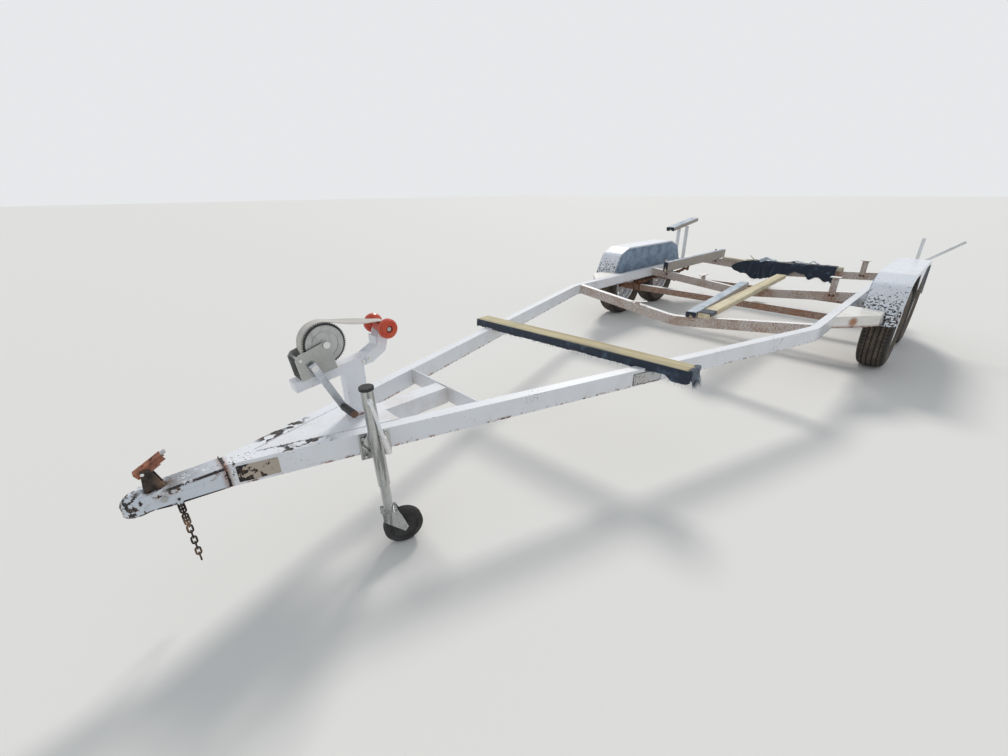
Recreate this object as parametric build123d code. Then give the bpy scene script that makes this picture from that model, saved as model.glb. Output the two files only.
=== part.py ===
from build123d import *
import math
import os

# Tandem axle boat trailer, standing on its jack, in millimetres.
# +Z is up, +Y runs rearward from the coupler, +X is the trailer's left side.
# The origin is the centre of the hitch ball in the coupler.

# Chassis
ball_height = 460          # hitch ball centre above the ground
rail_top = 35              # top face of both rails above the ball centre
rail_height = 84
rail_width = 50
rail_wall = 4
rail_outer = 969           # half the width over the rails
rail_front = 226           # where the rails butt against the coupler
rail_nose = 29.15          # outer side of a tongue rail there, from the centre line
rail_joined = 260          # length behind the coupler in which the rails' bores are filled
bend_y = 3285              # where the tongue rails turn parallel
bend_radius = 420
frame_rear = 6235
plate_thickness = 5
tongue_plate_rear = 800
cross_plate_y = 1112
cross_plate_height = 74
tube_size = 76             # square tube along the middle of the tongue
tube_front = 640

# Crossmembers: name, y of the middle, drop at the centre line
crossmember_rows = [
    ("crossmember_front", bend_y + 80, 118),
    ("crossmember_middle", bend_y + 1385, 90),
    ("crossmember_rear", frame_rear - 300, 64),
]
crossmember_height = 76
crossmember_width = 45
crossmember_fillet = 500

# Coupler
socket_radius = 25.8
socket_depth = 24
coupler_wall = 4.5
coupler_width = 76
coupler_nose = 42
coupler_lift = 31          # top of the coupler above the ball centre
coupler_drop = 24          # its lower edge below the ball centre
boss_y = 60                # round boss on each side of the coupler
boss_radius = 9
latch_y = 22               # lower front corner of the raised latch lever
latch_z = 77
latch_length = 84
latch_width = 30
latch_depth = 20
latch_angle = 27.5
latch_sheet = 3
chain_wire = 6
chain_pitch = 23           # inside length of a link
chain_width = 20
chain_links = 12
chain_links_short = 5
chain_spread = 11          # from the centre line to either strand
chain_clearance = 0.1
link_seat = 0.6            # how deep each link beds in the next
chain_y = 92
chain_bolt_z = -16
chain_bolt_radius = 3.5
link_sides = 5             # flats round each end of a link
wire_sides = 6

# Running gear
running_gap = 0.3
tyre_radius = 315
tyre_width = 185
tyre_x = rail_outer + 203  # middle of the tread
rim_radius = 165
bogie_y = 4818
axle_size = 60             # square tube
spindle_radius = 22
spindle_clearance = 0.05
spindle_reach = 42         # beyond the middle of the tread
hub_radius = 42
hub_back = 70
stud_circle = 57.15
studs = 5
cap_radius = 30
hand_hole_circle = 107
hand_holes = 8
hand_hole_radius = 15
leaf_width = 44
leaf_thickness = 7
leaf_half = 330
equaliser_half = 60        # from its pin to the eye at either end
axle_spacing = 2 * (leaf_half + equaliser_half)
eye_radius = 14
eye_bolt = 8
eye_drop = 34              # spring eyes below the rail
equaliser_drop = 26
hanger_thickness = 6

# Fenders
fender_inner = rail_outer + 83
fender_outer = fender_inner + 218
fender_top = 265
fender_bottom = -65
fender_sheet = 3
fender_fillet = 110
fender_lean = 135          # how far the steep end leans in below the brow
fender_brow = 290          # from the end to where the top is level
brow_drop = 65
fender_lip = 30
fender_half = axle_spacing / 2 + tyre_radius + 63
vee_drop = 178
vee_half = 190
step_depth = 80
step_near = 215            # reach of a step beyond the rail
step_front = fender_half + 390
step_corner = fender_half + 131
step_sheet = 4
bracket_offset = 330       # fender brackets ahead of and behind the bogie's middle
bracket_top_drop = 20
carpet = 6
fender_carpet = 5
fender_carpet_inset = 14

# Jack
jack_y = 680
jack_pivot_z = 0
jack_offset = 44           # tube axis to the rail's side face
jack_lean = 2
jack_outer_radius = 22.5
jack_inner_radius = 18.5
jack_top = 235
jack_outer_bottom = -172
jack_leg_top = 40
plate_half = 56            # jack's plate on the rail
plate_low = -70
plate_high = 34
handle_z = 190
handle_angle = 9           # degrees that the folded handle hangs rearward
handle_length = 150
handle_grip = 66
caster_radius = 78
caster_width = 40
caster_trail = 44
crown_sheet = 6
crown_gap = 14             # between the caster wheel and the fork's crown
crown_front = 30
swivel_radius = 42
swivel_pin = 10

# Winch stand and winch
post_width = 51
post_depth = 76
post_y = 708
arm_width = 51
arm_height = 38
arm_slope = 7.5
arm_front = 488
arm_rear = 782
arm_top_at_post = 269
drum_axis = (-82, 96.5)     # along and above the arm's top face, from the post's middle
gear_teeth = 58
pinion_teeth = 10
module = 2.6
gear_face = 7
mesh_angle = 222           # degrees, from the drum's axle to the crank's
winch_half = 34
winch_plate = 4
winch_front = -196         # ends of the winch's frame along the arm
winch_rear = -66
winch_axle = 8
crank_axle = 7
strap_roll = 66
gear_ring = 46             # radius of the step pressed into the gear's face
drum_flange = 72
strap_width = 46
strap_thickness = 2.4
strap_hang = 48            # loose end of the strap behind the roller
crank_length = 190
crank_angle = 16           # degrees the crank hangs rearward, from the arm's square
grip_length = 82
grip_radius = 14
roller_axis = (846, 366)
roller_radius = 38.5
roller_waist = 21
roller_outer = 72
roller_axle = 8
ear_thickness = 5

# Bunks and loose timber
board_width = 89
board_thickness = 38
bunk_x = 755
bracket_top = 145
bracket_sheet = 6
bunk_front = bend_y + 1275
bunk_rear = frame_rear - 165
bunk_overhang = 65         # of the centre bunks beyond the crossmembers

# Loose boards: x at the front, x at the rear, reach behind the middle crossmember, width, thickness
center_rows = {
    "center_bunk_carpeted": (152, 26, bunk_overhang, 78, board_thickness + carpet),
    "center_bunk_bare": (252, 186, 610, board_width, board_thickness),
}

# Pieces of the broken board on the rear crossmember: x at each end, reach forward, width, thickness
broken_rows = [
    (-370, 580, 0, board_width, board_thickness),
    (-660, -385, 6, 70, 30),
]

# The carpet heaped over the longer piece: x at its start, its length, and how low its edges hang
heap_start = -330
heap_length = 860
heap_front = 165
heap_rear = 120

# The board across the tongue: x and y of its ends
front_board_start = (-620, 1900)
front_board_end = (766, 2004)
fold_length = 118

# Small brackets left on the crossmembers: name, x, height above the crossmember, turn of the cap
small_rows = [
    ("crossmember_front", -318, 26, 42),
    ("crossmember_middle", -345, 52, 90),
]

# Guides
guide_y = bogie_y + fender_half + 49
guide_inner_x = rail_outer + 81
guide_outer_x = guide_inner_x + 100
guide_bend = (372, 362)    # how far the bent post leans out and reaches up
guide_radius = 13
guide_height = 375
sleeve_radius = 21
guide_board_front = 330     # reach of the right posts' board ahead of them
guide_board_rear = 290
guide_board_rise = 82
guide_board_width = 100
guide_board_thickness = 45

rail_bottom = rail_top - rail_height
rail_inner = rail_outer - rail_width
ground = -ball_height
axle_z = ground + tyre_radius
front_axle_y = bogie_y - axle_spacing / 2
rear_axle_y = bogie_y + axle_spacing / 2
rail_middle = rail_outer - rail_width / 2
tongue_run = bend_y - rail_front
tongue_rise = rail_middle - rail_nose
tongue_lead = math.asin(rail_width / 2 / math.hypot(tongue_rise, tongue_run))
tongue_turn = math.atan2(tongue_rise, tongue_run) + tongue_lead
tongue_angle = math.degrees(tongue_turn)
tongue_sin = math.sin(tongue_turn)
tongue_cos = math.cos(tongue_turn)
parts = {}


def box(x0, x1, y0, y1, z0, z1):
    return Pos((x0 + x1) / 2, (y0 + y1) / 2, (z0 + z1) / 2) * Box(x1 - x0, y1 - y0, z1 - z0)


def cylinder_x(radius, x0, x1, y=0, z=0):
    return Pos((x0 + x1) / 2, y, z) * Rot(0, 90, 0) * Cylinder(radius, x1 - x0)


def tube_z(radius, z0, z1, x=0, y=0):
    return Pos(x, y, (z0 + z1) / 2) * Cylinder(radius, z1 - z0)


def flip(shape):
    return mirror(shape, about=Plane.YZ)


def side_outline(points, x0, x1):
    """Solid with a polygon of (y, z) points as its section, from x0 to x1."""
    face = make_face(Polyline([(0, y, z) for y, z in points], close=True))
    return extrude(Pos(x0, 0, 0) * face, amount=x1 - x0, dir=(1, 0, 0))


def plan_outline(points, z0, z1):
    face = make_face(Polyline([(x, y, z0) for x, y in points], close=True))
    return extrude(face, amount=z1 - z0, dir=(0, 0, 1))


def outer_x(y):
    """Outer side of the left rail at a place along the tongue."""
    middle = rail_middle - (bend_y - y) * tongue_sin / tongue_cos
    return middle + rail_width / 2 / tongue_cos


def place_on_tongue(x):
    """Place along the tongue at which the left rail's outer side is x from the centre line."""
    return bend_y - (rail_middle + rail_width / 2 / tongue_cos - x) * tongue_cos / tongue_sin


# Rails
def rail_tube(inset, height, z0):
    half = rail_width / 2 - inset
    reach = tongue_run / tongue_cos + 2 * rail_width
    start = (rail_middle - reach * tongue_sin, bend_y - reach * tongue_cos)
    path = FilletPolyline(start, (rail_middle, bend_y), (rail_middle, frame_rear), radius=bend_radius)
    face = make_face(offset_line(path, half))
    return extrude(Pos(0, 0, z0) * face, amount=height)


def offset_line(path, half):
    wire = path if isinstance(path, Wire) else Wire(path.edges())
    return wire.offset_2d(half, kind=Kind.INTERSECTION, side=Side.BOTH, closed=True).edges()


def make_rail():
    body = rail_tube(0, rail_height, rail_bottom)
    bore = rail_tube(rail_wall, rail_height - 2 * rail_wall, rail_bottom + rail_wall)
    far = 2 * rail_outer
    bore = bore & box(0, far, rail_front + rail_joined, frame_rear + far, -far, far)
    body = body & box(running_gap / 2, far, rail_front, frame_rear, -far, far)
    mouth = box(rail_inner + rail_wall, rail_outer - rail_wall,
                frame_rear - rail_width, frame_rear + rail_width,
                rail_bottom + rail_wall, rail_top - rail_wall)
    return body - bore - mouth


rail_left = make_rail()
parts["rail_left"] = rail_left
parts["rail_right"] = flip(rail_left)


# Tongue
def make_tongue_plate():
    """Plate let in between the tongue rails, flush with their tops."""
    gap = running_gap + rail_width / tongue_cos
    front = place_on_tongue(gap + plate_thickness / 2)
    points = [
        (outer_x(front) - gap, front),
        (outer_x(tongue_plate_rear) - gap, tongue_plate_rear),
        (gap - outer_x(tongue_plate_rear), tongue_plate_rear),
        (gap - outer_x(front), front),
    ]
    return plan_outline(points, rail_top - plate_thickness, rail_top)


def make_tongue_tube():
    top = rail_top - plate_thickness
    tube = box(-tube_size / 2, tube_size / 2, tube_front, cross_plate_y, top - tube_size, top)
    wall = rail_wall
    bore = box(wall - tube_size / 2, tube_size / 2 - wall, tube_front - 10, cross_plate_y - 20,
               top - tube_size + wall, top - wall)
    return tube - bore


def make_cross_plate():
    y0 = cross_plate_y
    y1 = cross_plate_y + plate_thickness
    reach = outer_x(y0) - rail_width / tongue_cos - running_gap
    return box(-reach, reach, y0, y1, rail_top - cross_plate_height, rail_top)


parts["tongue_plate"] = make_tongue_plate()
parts["tongue_tube"] = make_tongue_tube()
parts["tongue_cross_plate"] = make_cross_plate()


# Crossmembers
def crossmember_top(name, x):
    """Height of a crossmember's top face at a place across the frame."""
    drop = {row[0]: row[2] for row in crossmember_rows}[name]
    return rail_top - drop * (1 - abs(x) / rail_inner)


def make_crossmember(y, drop):
    reach = rail_inner - running_gap
    low = rail_top - crossmember_height
    corners = [(-reach, rail_top), (0, rail_top - drop), (reach, rail_top)]
    path = FilletPolyline(*corners, radius=crossmember_fillet)
    lower = Pos(0, -crossmember_height) * path
    ends = [Line((-reach, rail_top), (-reach, low)), Line((reach, rail_top), (reach, low))]
    face = make_face(Curve() + path.edges() + lower.edges() + ends)
    upright = Location((0, y + crossmember_width / 2, 0), (90, 0, 0)) * face
    return extrude(upright, amount=crossmember_width, dir=(0, -1, 0))


for name, y, drop in crossmember_rows:
    parts[name] = make_crossmember(y, drop)


# Coupler, latch and chain
def make_coupler():
    """Pressed channel with a domed nose over the ball socket, and the chains' bolt across it."""
    half = coupler_width / 2
    flat = socket_radius + 4
    side = [
        (8, 14 - coupler_nose / 2), (8, coupler_lift - 3), (70, coupler_lift),
        (rail_front, rail_top - 2), (rail_front, rail_bottom + 4),
        (flat + 40, -coupler_drop - 8), (flat, -coupler_drop), (8, -coupler_drop),
    ]
    channel = side_outline(side, -half, half)
    nose = tube_z(coupler_nose, -coupler_drop, coupler_nose)
    nose = nose & (Pos(0, 0, -9) * Sphere(coupler_nose + 3))
    for end in (-1, 1):
        channel += cylinder_x(boss_radius, end * half - 4, end * half + 4, boss_y, 0)
    hollow = [
        (socket_radius + 12, coupler_lift - coupler_wall - 3), (rail_front + 1, rail_top - coupler_wall - 2),
        (rail_front + 1, rail_bottom - 20), (socket_radius + 12, rail_bottom - 20),
    ]
    inside = side_outline(hollow, coupler_wall - half, half - coupler_wall)
    ball = Sphere(socket_radius) + tube_z(socket_radius, -socket_depth - 10, 0)
    bolt = cylinder_x(chain_bolt_radius, -half - 6, half + 6, chain_y, chain_bolt_z)
    return channel + nose - inside - ball + bolt


def make_latch():
    """Raised lever, a channel with holes, between two ears on the coupler."""
    half = latch_width / 2
    sheet = latch_sheet
    inside = box(sheet - half, half - sheet, -1, latch_length + 1, -1, latch_depth - sheet)
    lever = box(-half, half, 0, latch_length, 0, latch_depth) - inside
    for y in (30, 56):
        lever -= tube_z(6, 0, latch_depth + 1, 0, y)
    under = latch_depth - sheet
    tip = box(-half + 6, half - 6, latch_length - 16, latch_length + 14, under - 4, under + 2)
    trigger = box(-5, 5, 26, 62, -9, under + 1)
    pivot = cylinder_x(5, -half - 5, half + 5, 16, 8)
    lever = Location((0, latch_y, latch_z), (latch_angle, 0, 0)) * (lever + tip + trigger + pivot)
    seat = coupler_lift + running_gap
    front = latch_y + 8
    rear = latch_y + 38
    inner = half + 0.5
    outer = inner + 4
    top = latch_z + 26
    ear = side_outline([(front - 8, seat), (rear + 14, seat), (rear - 8, top), (front, top)], inner, outer)
    return lever + ear + flip(ear) + box(-outer, outer, front - 8, rear + 14, seat, seat + 4)


def make_link(turned):
    """Link of hexagonal wire, with each rounded end made of flats."""
    half = (chain_width - chain_wire) / 2
    bow = half / math.cos(math.pi / 2 / link_sides)
    centre = (chain_pitch + chain_wire) / 2 - half
    points = [(half, 0, 0)]
    for end in (1, -1):
        for i in range(link_sides + 1):
            angle = math.pi * i / link_sides
            points.append((end * half * math.cos(angle), 0, end * (centre + bow * math.sin(angle))))
    section = Plane(origin=(half, 0, 0), z_dir=(0, 0, 1)) * RegularPolygon(chain_wire / 2, wire_sides)
    ring = sweep(section, path=Polyline(points, close=True), transition=Transition.RIGHT)
    return Rot(0, 0, 90) * ring if turned else ring


def make_strand(x, links):
    """Chain that hangs from the coupler's bolt, each link seated in the last."""
    first = chain_bolt_z + chain_bolt_radius + chain_clearance - chain_pitch / 2
    strand = Pos(x, chain_y, first) * make_link(True)
    for i in range(1, links):
        strand += Pos(x, chain_y, first - i * (chain_pitch + link_seat)) * make_link(i % 2 == 0)
    return strand


parts["coupler"] = make_coupler()
parts["latch_lever"] = make_latch()
strands = [make_strand(-chain_spread, chain_links), make_strand(chain_spread, chain_links_short)]
parts["safety_chain"] = Compound(strands)


# Axles and springs
def make_axles():
    """Square beams with round spindles and a spring seat near each end."""
    pair = []
    half = axle_size / 2
    seat = leaf_width / 2 + 4
    reach = tyre_x - hub_back - 12
    for y in (front_axle_y, rear_axle_y):
        beam = box(-reach, reach, y - half, y + half, axle_z - half, axle_z + half)
        beam += cylinder_x(spindle_radius, -spindle_end, spindle_end, y, axle_z)
        for x in (-spring_x, spring_x):
            beam += box(x - seat, x + seat, y - 45, y + 45, axle_z + half - 1, spring_seat)
        pair.append(beam)
    return Compound(pair)


def leaf(y, half, level, arch):
    """One leaf: its top face is an arc that rises by arch at both ends."""
    ends = (level + arch) if arch else level
    top = ThreePointArc((y - half, ends), (y, level), (y + half, ends))
    low = Pos(0, -leaf_thickness) * top
    sides = [Line(top @ 0, low @ 0), Line(top @ 1, low @ 1)]
    return make_face(Curve() + [top, low] + sides)


def make_spring(y, side):
    level = spring_seat + 3 * leaf_thickness
    arch = eye_z + eye_radius - level
    faces = [leaf(y, leaf_half, level, arch)]
    faces.append(leaf(y, leaf_half * 0.72, level - leaf_thickness, arch * 0.52))
    faces.append(leaf(y, leaf_half * 0.42, level - 2 * leaf_thickness, arch * 0.18))
    section = faces[0] + faces[1] + faces[2]
    for end in (-1, 1):
        section += Pos(y + end * leaf_half, eye_z) * Circle(eye_radius)
    for end in (-1, 1):
        section -= Pos(y + end * leaf_half, eye_z) * Circle(eye_bolt + 0.1)
    plane = Plane(origin=(side * spring_x - leaf_width / 2, 0, 0), x_dir=(0, 1, 0), z_dir=(1, 0, 0))
    return extrude(plane * section, amount=leaf_width)


def make_springs():
    return Compound([make_spring(y, side) for side in (-1, 1) for y in (front_axle_y, rear_axle_y)])


def make_hangers():
    """Front and rear hangers and the one that carries the equaliser, on each side."""
    rows = [
        (front_axle_y - leaf_half, 34, eye_z, 18),
        (bogie_y, 46, equaliser_z, 20),
        (rear_axle_y + leaf_half, 34, eye_z, 18),
    ]
    made = []
    for side in (-1, 1):
        x = side * spring_x
        inner = leaf_width / 2 + 1
        outer = inner + hanger_thickness
        for y, half, z, low in rows:
            top = rail_bottom - 0.2
            points = [(y - half, top), (y + half, top), (y + 16, z - low), (y - 16, z - low)]
            body = side_outline(points, x - outer, x + outer)
            body -= box(x - inner, x + inner, y - 90, y + 90, z - 99, top - 6)
            made.append(body + cylinder_x(eye_bolt, x - outer - 7, x + outer + 7, y, z))
    return Compound(made)


def make_equalisers():
    """Rocking plate on the middle hanger, forked at both ends over the springs' eyes."""
    made = []
    half = leaf_width / 2
    cheek = half + 0.5
    web_far = equaliser_half - eye_radius - 4
    web_near = web_far - 5
    flat = web_far - 16
    for side in (-1, 1):
        x = side * spring_x
        points = [
            (bogie_y - web_far, eye_z + 14), (bogie_y - flat, equaliser_z + 14),
            (bogie_y + flat, equaliser_z + 14), (bogie_y + web_far, eye_z + 14),
            (bogie_y + web_far, eye_z - 14), (bogie_y, equaliser_z - 18),
            (bogie_y - web_far, eye_z - 14),
        ]
        plate = side_outline(points, x - half + 1, x + half - 1)
        plate -= cylinder_x(eye_bolt + 0.1, x - 60, x + 60, bogie_y, equaliser_z)
        for end in (-1, 1):
            y = bogie_y + end * equaliser_half
            web = sorted((bogie_y + end * web_near, bogie_y + end * web_far))
            plate += box(x - cheek - 6, x + cheek + 6, web[0], web[1], eye_z - 14, eye_z + 14)
            reach = sorted((bogie_y + end * web_near, y + end * 18))
            plate += box(x - cheek - 6, x - cheek, reach[0], reach[1], eye_z - 14, eye_z + 14)
            plate += box(x + cheek, x + cheek + 6, reach[0], reach[1], eye_z - 14, eye_z + 14)
            plate += cylinder_x(eye_bolt, x - cheek - 11, x + cheek + 11, y, eye_z)
        made.append(plate)
    return Compound(made)


spring_x = rail_middle
spring_seat = axle_z + axle_size / 2 + 4
spindle_end = tyre_x + spindle_reach
eye_z = rail_bottom - eye_drop
equaliser_z = rail_bottom - equaliser_drop
parts["axles"] = make_axles()
parts["leaf_springs"] = make_springs()
parts["spring_hangers"] = make_hangers()
parts["equalisers"] = make_equalisers()


# Wheels, built about +Z as the axle with the outboard side up
def make_tyre():
    half = tyre_width / 2
    side = [
        (rim_radius + running_gap, half - 27), (rim_radius + 14, half - 24),
        (rim_radius + 21, half - 15), (rim_radius + 52, half - 3), (rim_radius + 88, half),
        (tyre_radius - 26, half - 8), (tyre_radius - 7, half - 22), (tyre_radius, half - 44),
    ]
    section = side + [(r, -z) for r, z in reversed(side)]
    face = make_face(Polyline([(r, 0, z) for r, z in section], close=True))
    return revolve(face, axis=Axis.Z)


def make_wheel():
    """Spoked steel rim with its disc, hub, studs and grease cap."""
    half = tyre_width / 2 - 24
    edge = rim_radius + 13
    inner = rim_radius - 4
    well = rim_radius - 26
    barrel = [
        (edge, -half - 6), (edge, -half - 2), (rim_radius, -half + 2), (rim_radius, half - 2),
        (edge, half + 2), (edge, half + 6), (inner, half), (inner, 40),
        (well, 10), (well, -30), (inner, -44), (inner, -half),
    ]
    rim = revolve(make_face(Polyline([(r, 0, z) for r, z in barrel], close=True)), axis=Axis.Z)
    disc = [
        (hub_radius - 4, 8), (hub_radius + 30, 8), (hub_radius + 46, 18), (well + 1, 4),
        (well + 1, -2), (hub_radius + 46, 12), (hub_radius + 30, 2), (hub_radius - 4, 2),
    ]
    rim += revolve(make_face(Polyline([(r, 0, z) for r, z in disc], close=True)), axis=Axis.Z)
    for location in PolarLocations(hand_hole_circle, hand_holes):
        rim -= location * Cylinder(hand_hole_radius, 90)
    hub = [
        (0, -hub_back), (hub_radius, -hub_back), (hub_radius, -12),
        (stud_circle + 16, -10), (stud_circle + 16, 2), (hub_radius - 4, 2), (hub_radius - 8, 34),
        (cap_radius, 40), (cap_radius, 66), (cap_radius - 6, 72), (0, 74),
    ]
    rim += revolve(make_face(Polyline([(r, 0, z) for r, z in hub], close=True)), axis=Axis.Z)
    for location in PolarLocations(stud_circle, studs):
        rim += location * Pos(0, 0, 16) * extrude(RegularPolygon(11, 6), amount=10, both=True)
    bore_top = spindle_end - tyre_x + 4
    return rim - tube_z(spindle_radius + spindle_clearance, -hub_back - 1, bore_top)


tyre = make_tyre()
wheel = make_wheel()
for side_name, side in (("left", 1), ("right", -1)):
    for end_name, y in (("front", front_axle_y), ("rear", rear_axle_y)):
        place = Location((side * tyre_x, y, axle_z), (0, side * 90, 0))
        parts["tyre_" + side_name + "_" + end_name] = place * tyre
        parts["wheel_" + side_name + "_" + end_name] = place * wheel


# Fenders and their steps
def fender_path(inset):
    high = fender_top - inset
    half = fender_half - inset
    shoulder = fender_top - brow_drop
    points = [
        (bogie_y - half, fender_bottom), (bogie_y - half + fender_lean, shoulder),
        (bogie_y - half + fender_brow, high), (bogie_y + half - fender_brow, high),
        (bogie_y + half - fender_lean, shoulder), (bogie_y + half, fender_bottom),
    ]
    return FilletPolyline(*points, radius=fender_fillet)


def fender_face(inset, below=0):
    path = fender_path(inset)
    a = path @ 0
    b = path @ 1
    close = Polyline((a.X, a.Y), (a.X, a.Y - below), (b.X, b.Y - below), (b.X, b.Y)) if below else Line(a, b)
    return make_face(Curve() + path.edges() + close.edges())


def to_side(face, x):
    """A face drawn in (y, z) set up across X at x."""
    return Plane(origin=(x, 0, 0), x_dir=(0, 1, 0), z_dir=(1, 0, 0)) * face


def make_fender():
    width = fender_outer - fender_inner
    shell = extrude(to_side(fender_face(0), fender_inner), amount=width)
    shell -= extrude(to_side(fender_face(fender_sheet, 20), fender_inner + fender_sheet), amount=width)
    lip = fender_face(0.5) - fender_face(fender_lip, 20)
    shell += extrude(to_side(lip, fender_outer - fender_sheet), amount=fender_sheet)
    vee = [
        (bogie_y - vee_half, fender_top - fender_lip + 4), (bogie_y + vee_half, fender_top - fender_lip + 4),
        (bogie_y + 18, fender_top - vee_drop), (bogie_y - 18, fender_top - vee_drop),
    ]
    return shell + side_outline(vee, fender_outer - fender_sheet, fender_outer)


def make_step(end):
    """Folded plate between a rail and one end of the fender: end is -1 in front, 1 behind."""
    x0 = rail_outer + running_gap
    x1 = rail_outer + step_near
    back = step_back + running_gap
    slope = step_sheet * math.hypot(x1 - x0, step_front - step_corner) / (x1 - x0)
    plate = [(x0, step_front), (x1, step_corner), (x1, back), (x0, back)]
    wall = x1 - step_sheet
    inside = [
        (x0 - 1, step_front - slope + 1), (wall, step_corner - slope + 4), (wall, back - 1),
        (x0 - 1, back - 1),
    ]
    plate = [(x, bogie_y + end * y) for x, y in plate]
    inside = [(x, bogie_y + end * y) for x, y in inside]
    if end < 0:
        plate.reverse()
        inside.reverse()
    low = rail_top - step_depth
    step = plan_outline(plate, low, rail_top - 1) - plan_outline(inside, low - 1, rail_top - 1 - step_sheet)
    return step - extrude(to_side(fender_face(-running_gap, 60), rail_outer - 1), amount=2 * step_near)


def make_fender_brackets():
    """Angle irons from the rail to the fender's inner skirt."""
    made = []
    x0 = rail_outer + running_gap
    x1 = fender_inner - running_gap
    low = rail_bottom + 8
    for y in (bogie_y - bracket_offset, bogie_y + bracket_offset):
        foot = box(x0, x1, y - 20, y + 20, low, low + 5)
        made.append(foot + box(x0, x1, y - 20, y - 15, low, rail_top - bracket_top_drop))
    return made


def make_fender_carpet():
    """Carpet glued to the fender's inner skirt, above the brackets."""
    x0 = fender_inner - running_gap - fender_carpet
    low = rail_top - bracket_top_drop + 2
    panel = extrude(to_side(fender_face(fender_carpet_inset), x0), amount=fender_carpet)
    return panel & box(x0 - 1, fender_inner, bogie_y - fender_half, bogie_y + fender_half, low, fender_top)


step_back = fender_half - (rail_top - fender_bottom) * fender_lean / (fender_top - brow_drop - fender_bottom)
fender = make_fender()
steps_left = Compound([make_step(-1), make_step(1)] + make_fender_brackets())
parts["fender_left"] = fender
parts["fender_right"] = flip(fender)
parts["fender_steps_left"] = steps_left
parts["fender_steps_right"] = flip(steps_left)
fender_carpet_left = make_fender_carpet()
parts["fender_carpet_left"] = fender_carpet_left
parts["fender_carpet_right"] = flip(fender_carpet_left)


# Jack, drawn along its own tube with the pivot on the rail's side face as the origin
jack_turn = Location((outer_x(jack_y), jack_y, jack_pivot_z), (0, 0, -tongue_angle))
jack_place = jack_turn * Location((0, 0, 0), (jack_lean, 0, 0))
lean_sin = math.sin(math.radians(jack_lean))
lean_cos = math.cos(math.radians(jack_lean))
caster_z = (ground + caster_radius - jack_pivot_z - caster_trail * lean_sin) / lean_cos
crown_top = caster_z + caster_radius + crown_gap


def make_jack_bracket():
    """Plate on the rail's side face, with the pin and boss that the jack turns on."""
    plate = box(running_gap, 8, -plate_half, plate_half, plate_low, plate_high)
    pin = cylinder_x(swivel_pin, 8, 20, 0, 0)
    return jack_turn * (plate + pin + cylinder_x(26, 8, 12, 0, 0))


def make_jack_tube():
    """Outer tube with its swivel disc, top cap, folded handle and pull pin."""
    x = jack_offset
    tube = tube_z(jack_outer_radius, jack_outer_bottom, jack_top - 12, x)
    tube += tube_z(jack_outer_radius + 2, jack_top - 12, jack_top, x)
    saddle = box(20, x - 8, -24, 24, -34, 34)
    disc = cylinder_x(swivel_radius, 12.5, 20.5, 0, 0)
    body = tube + saddle + disc
    body -= tube_z(jack_inner_radius + 1, jack_outer_bottom - 1, handle_z - 12, x)
    body -= cylinder_x(swivel_pin + 0.05, 12, 20.3, 0, 0)
    reach = x + jack_outer_radius
    handle = cylinder_x(9, reach - 4, reach + 18)
    handle += tube_z(6, -handle_length, 0, reach + 12)
    handle += tube_z(10.5, -handle_length - handle_grip, -handle_length + 2, reach + 12)
    handle = Location((0, 0, handle_z), (handle_angle, 0, 0)) * handle
    lock = Location((0, -34, -19), (34, 0, 0)) * tube_z(4, -25, 25, 28) + cylinder_x(6, 16, 28, -34, -19)
    return jack_place * (body + handle + lock)


def make_jack_leg():
    x = jack_offset
    low = crown_top + running_gap
    return jack_place * tube_z(jack_inner_radius, low, jack_leg_top, x)


def make_caster_fork():
    """Crown and two tapered legs, which trail the wheel behind the tube."""
    x = jack_offset
    inner = caster_width / 2 + 5
    outer = inner + 5
    y = caster_trail
    low = crown_top - crown_sheet
    side = [
        (-crown_front, crown_top), (crown_front, crown_top), (crown_front + 10, low - 20),
        (y + 15, caster_z + 2), (y, caster_z - 15), (y - 15, caster_z), (-crown_front, low - 26),
    ]
    fork = box(x - outer, x + outer, -crown_front, crown_front, low, crown_top)
    for face in (x - outer, x + inner):
        fork += side_outline(side, face, face + 5)
    return jack_place * (fork + cylinder_x(6, x - outer - 6, x + outer + 6, y, caster_z))


def make_caster_wheel():
    half = caster_width / 2
    section = [
        (6.05, -half), (24, -half), (26, -half + 6), (52, -half + 6), (56, -half),
        (caster_radius - 7, -half + 1), (caster_radius, -half + 9),
    ]
    section += [(r, -z) for r, z in reversed(section)]
    wheel = revolve(make_face(Polyline([(r, 0, z) for r, z in section], close=True)), axis=Axis.Z)
    return jack_place * Location((jack_offset, caster_trail, caster_z), (0, 90, 0)) * wheel


parts["jack_bracket"] = make_jack_bracket()
parts["jack_tube"] = make_jack_tube()
parts["jack_leg"] = make_jack_leg()
parts["caster_fork"] = make_caster_fork()
parts["caster_wheel"] = make_caster_wheel()


# Winch stand, drawn along its sloping arm
arm_place = Location((0, post_y, arm_top_at_post), (arm_slope, 0, 0))
slope_cos = math.cos(math.radians(arm_slope))
slope_sin = math.sin(math.radians(arm_slope))
arm_start = (arm_front - post_y) / slope_cos
arm_end = (arm_rear - post_y) / slope_cos


def on_arm(y, z):
    """Row coordinates of a point given along and above the arm."""
    return post_y + y * slope_cos - z * slope_sin, arm_top_at_post + y * slope_sin + z * slope_cos


def make_winch_stand():
    """Square post and the tube across its top, which slopes up toward the boat."""
    half = post_depth / 2
    post = box(-post_width / 2, post_width / 2, post_y - half, post_y + half, rail_top, arm_top_at_post + 20)
    post -= arm_place * box(-80, 80, -120, 120, -arm_height / 2, 90)
    arm = box(-arm_width / 2, arm_width / 2, arm_start, arm_end, -arm_height, 0)
    return post + arm_place * arm


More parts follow.
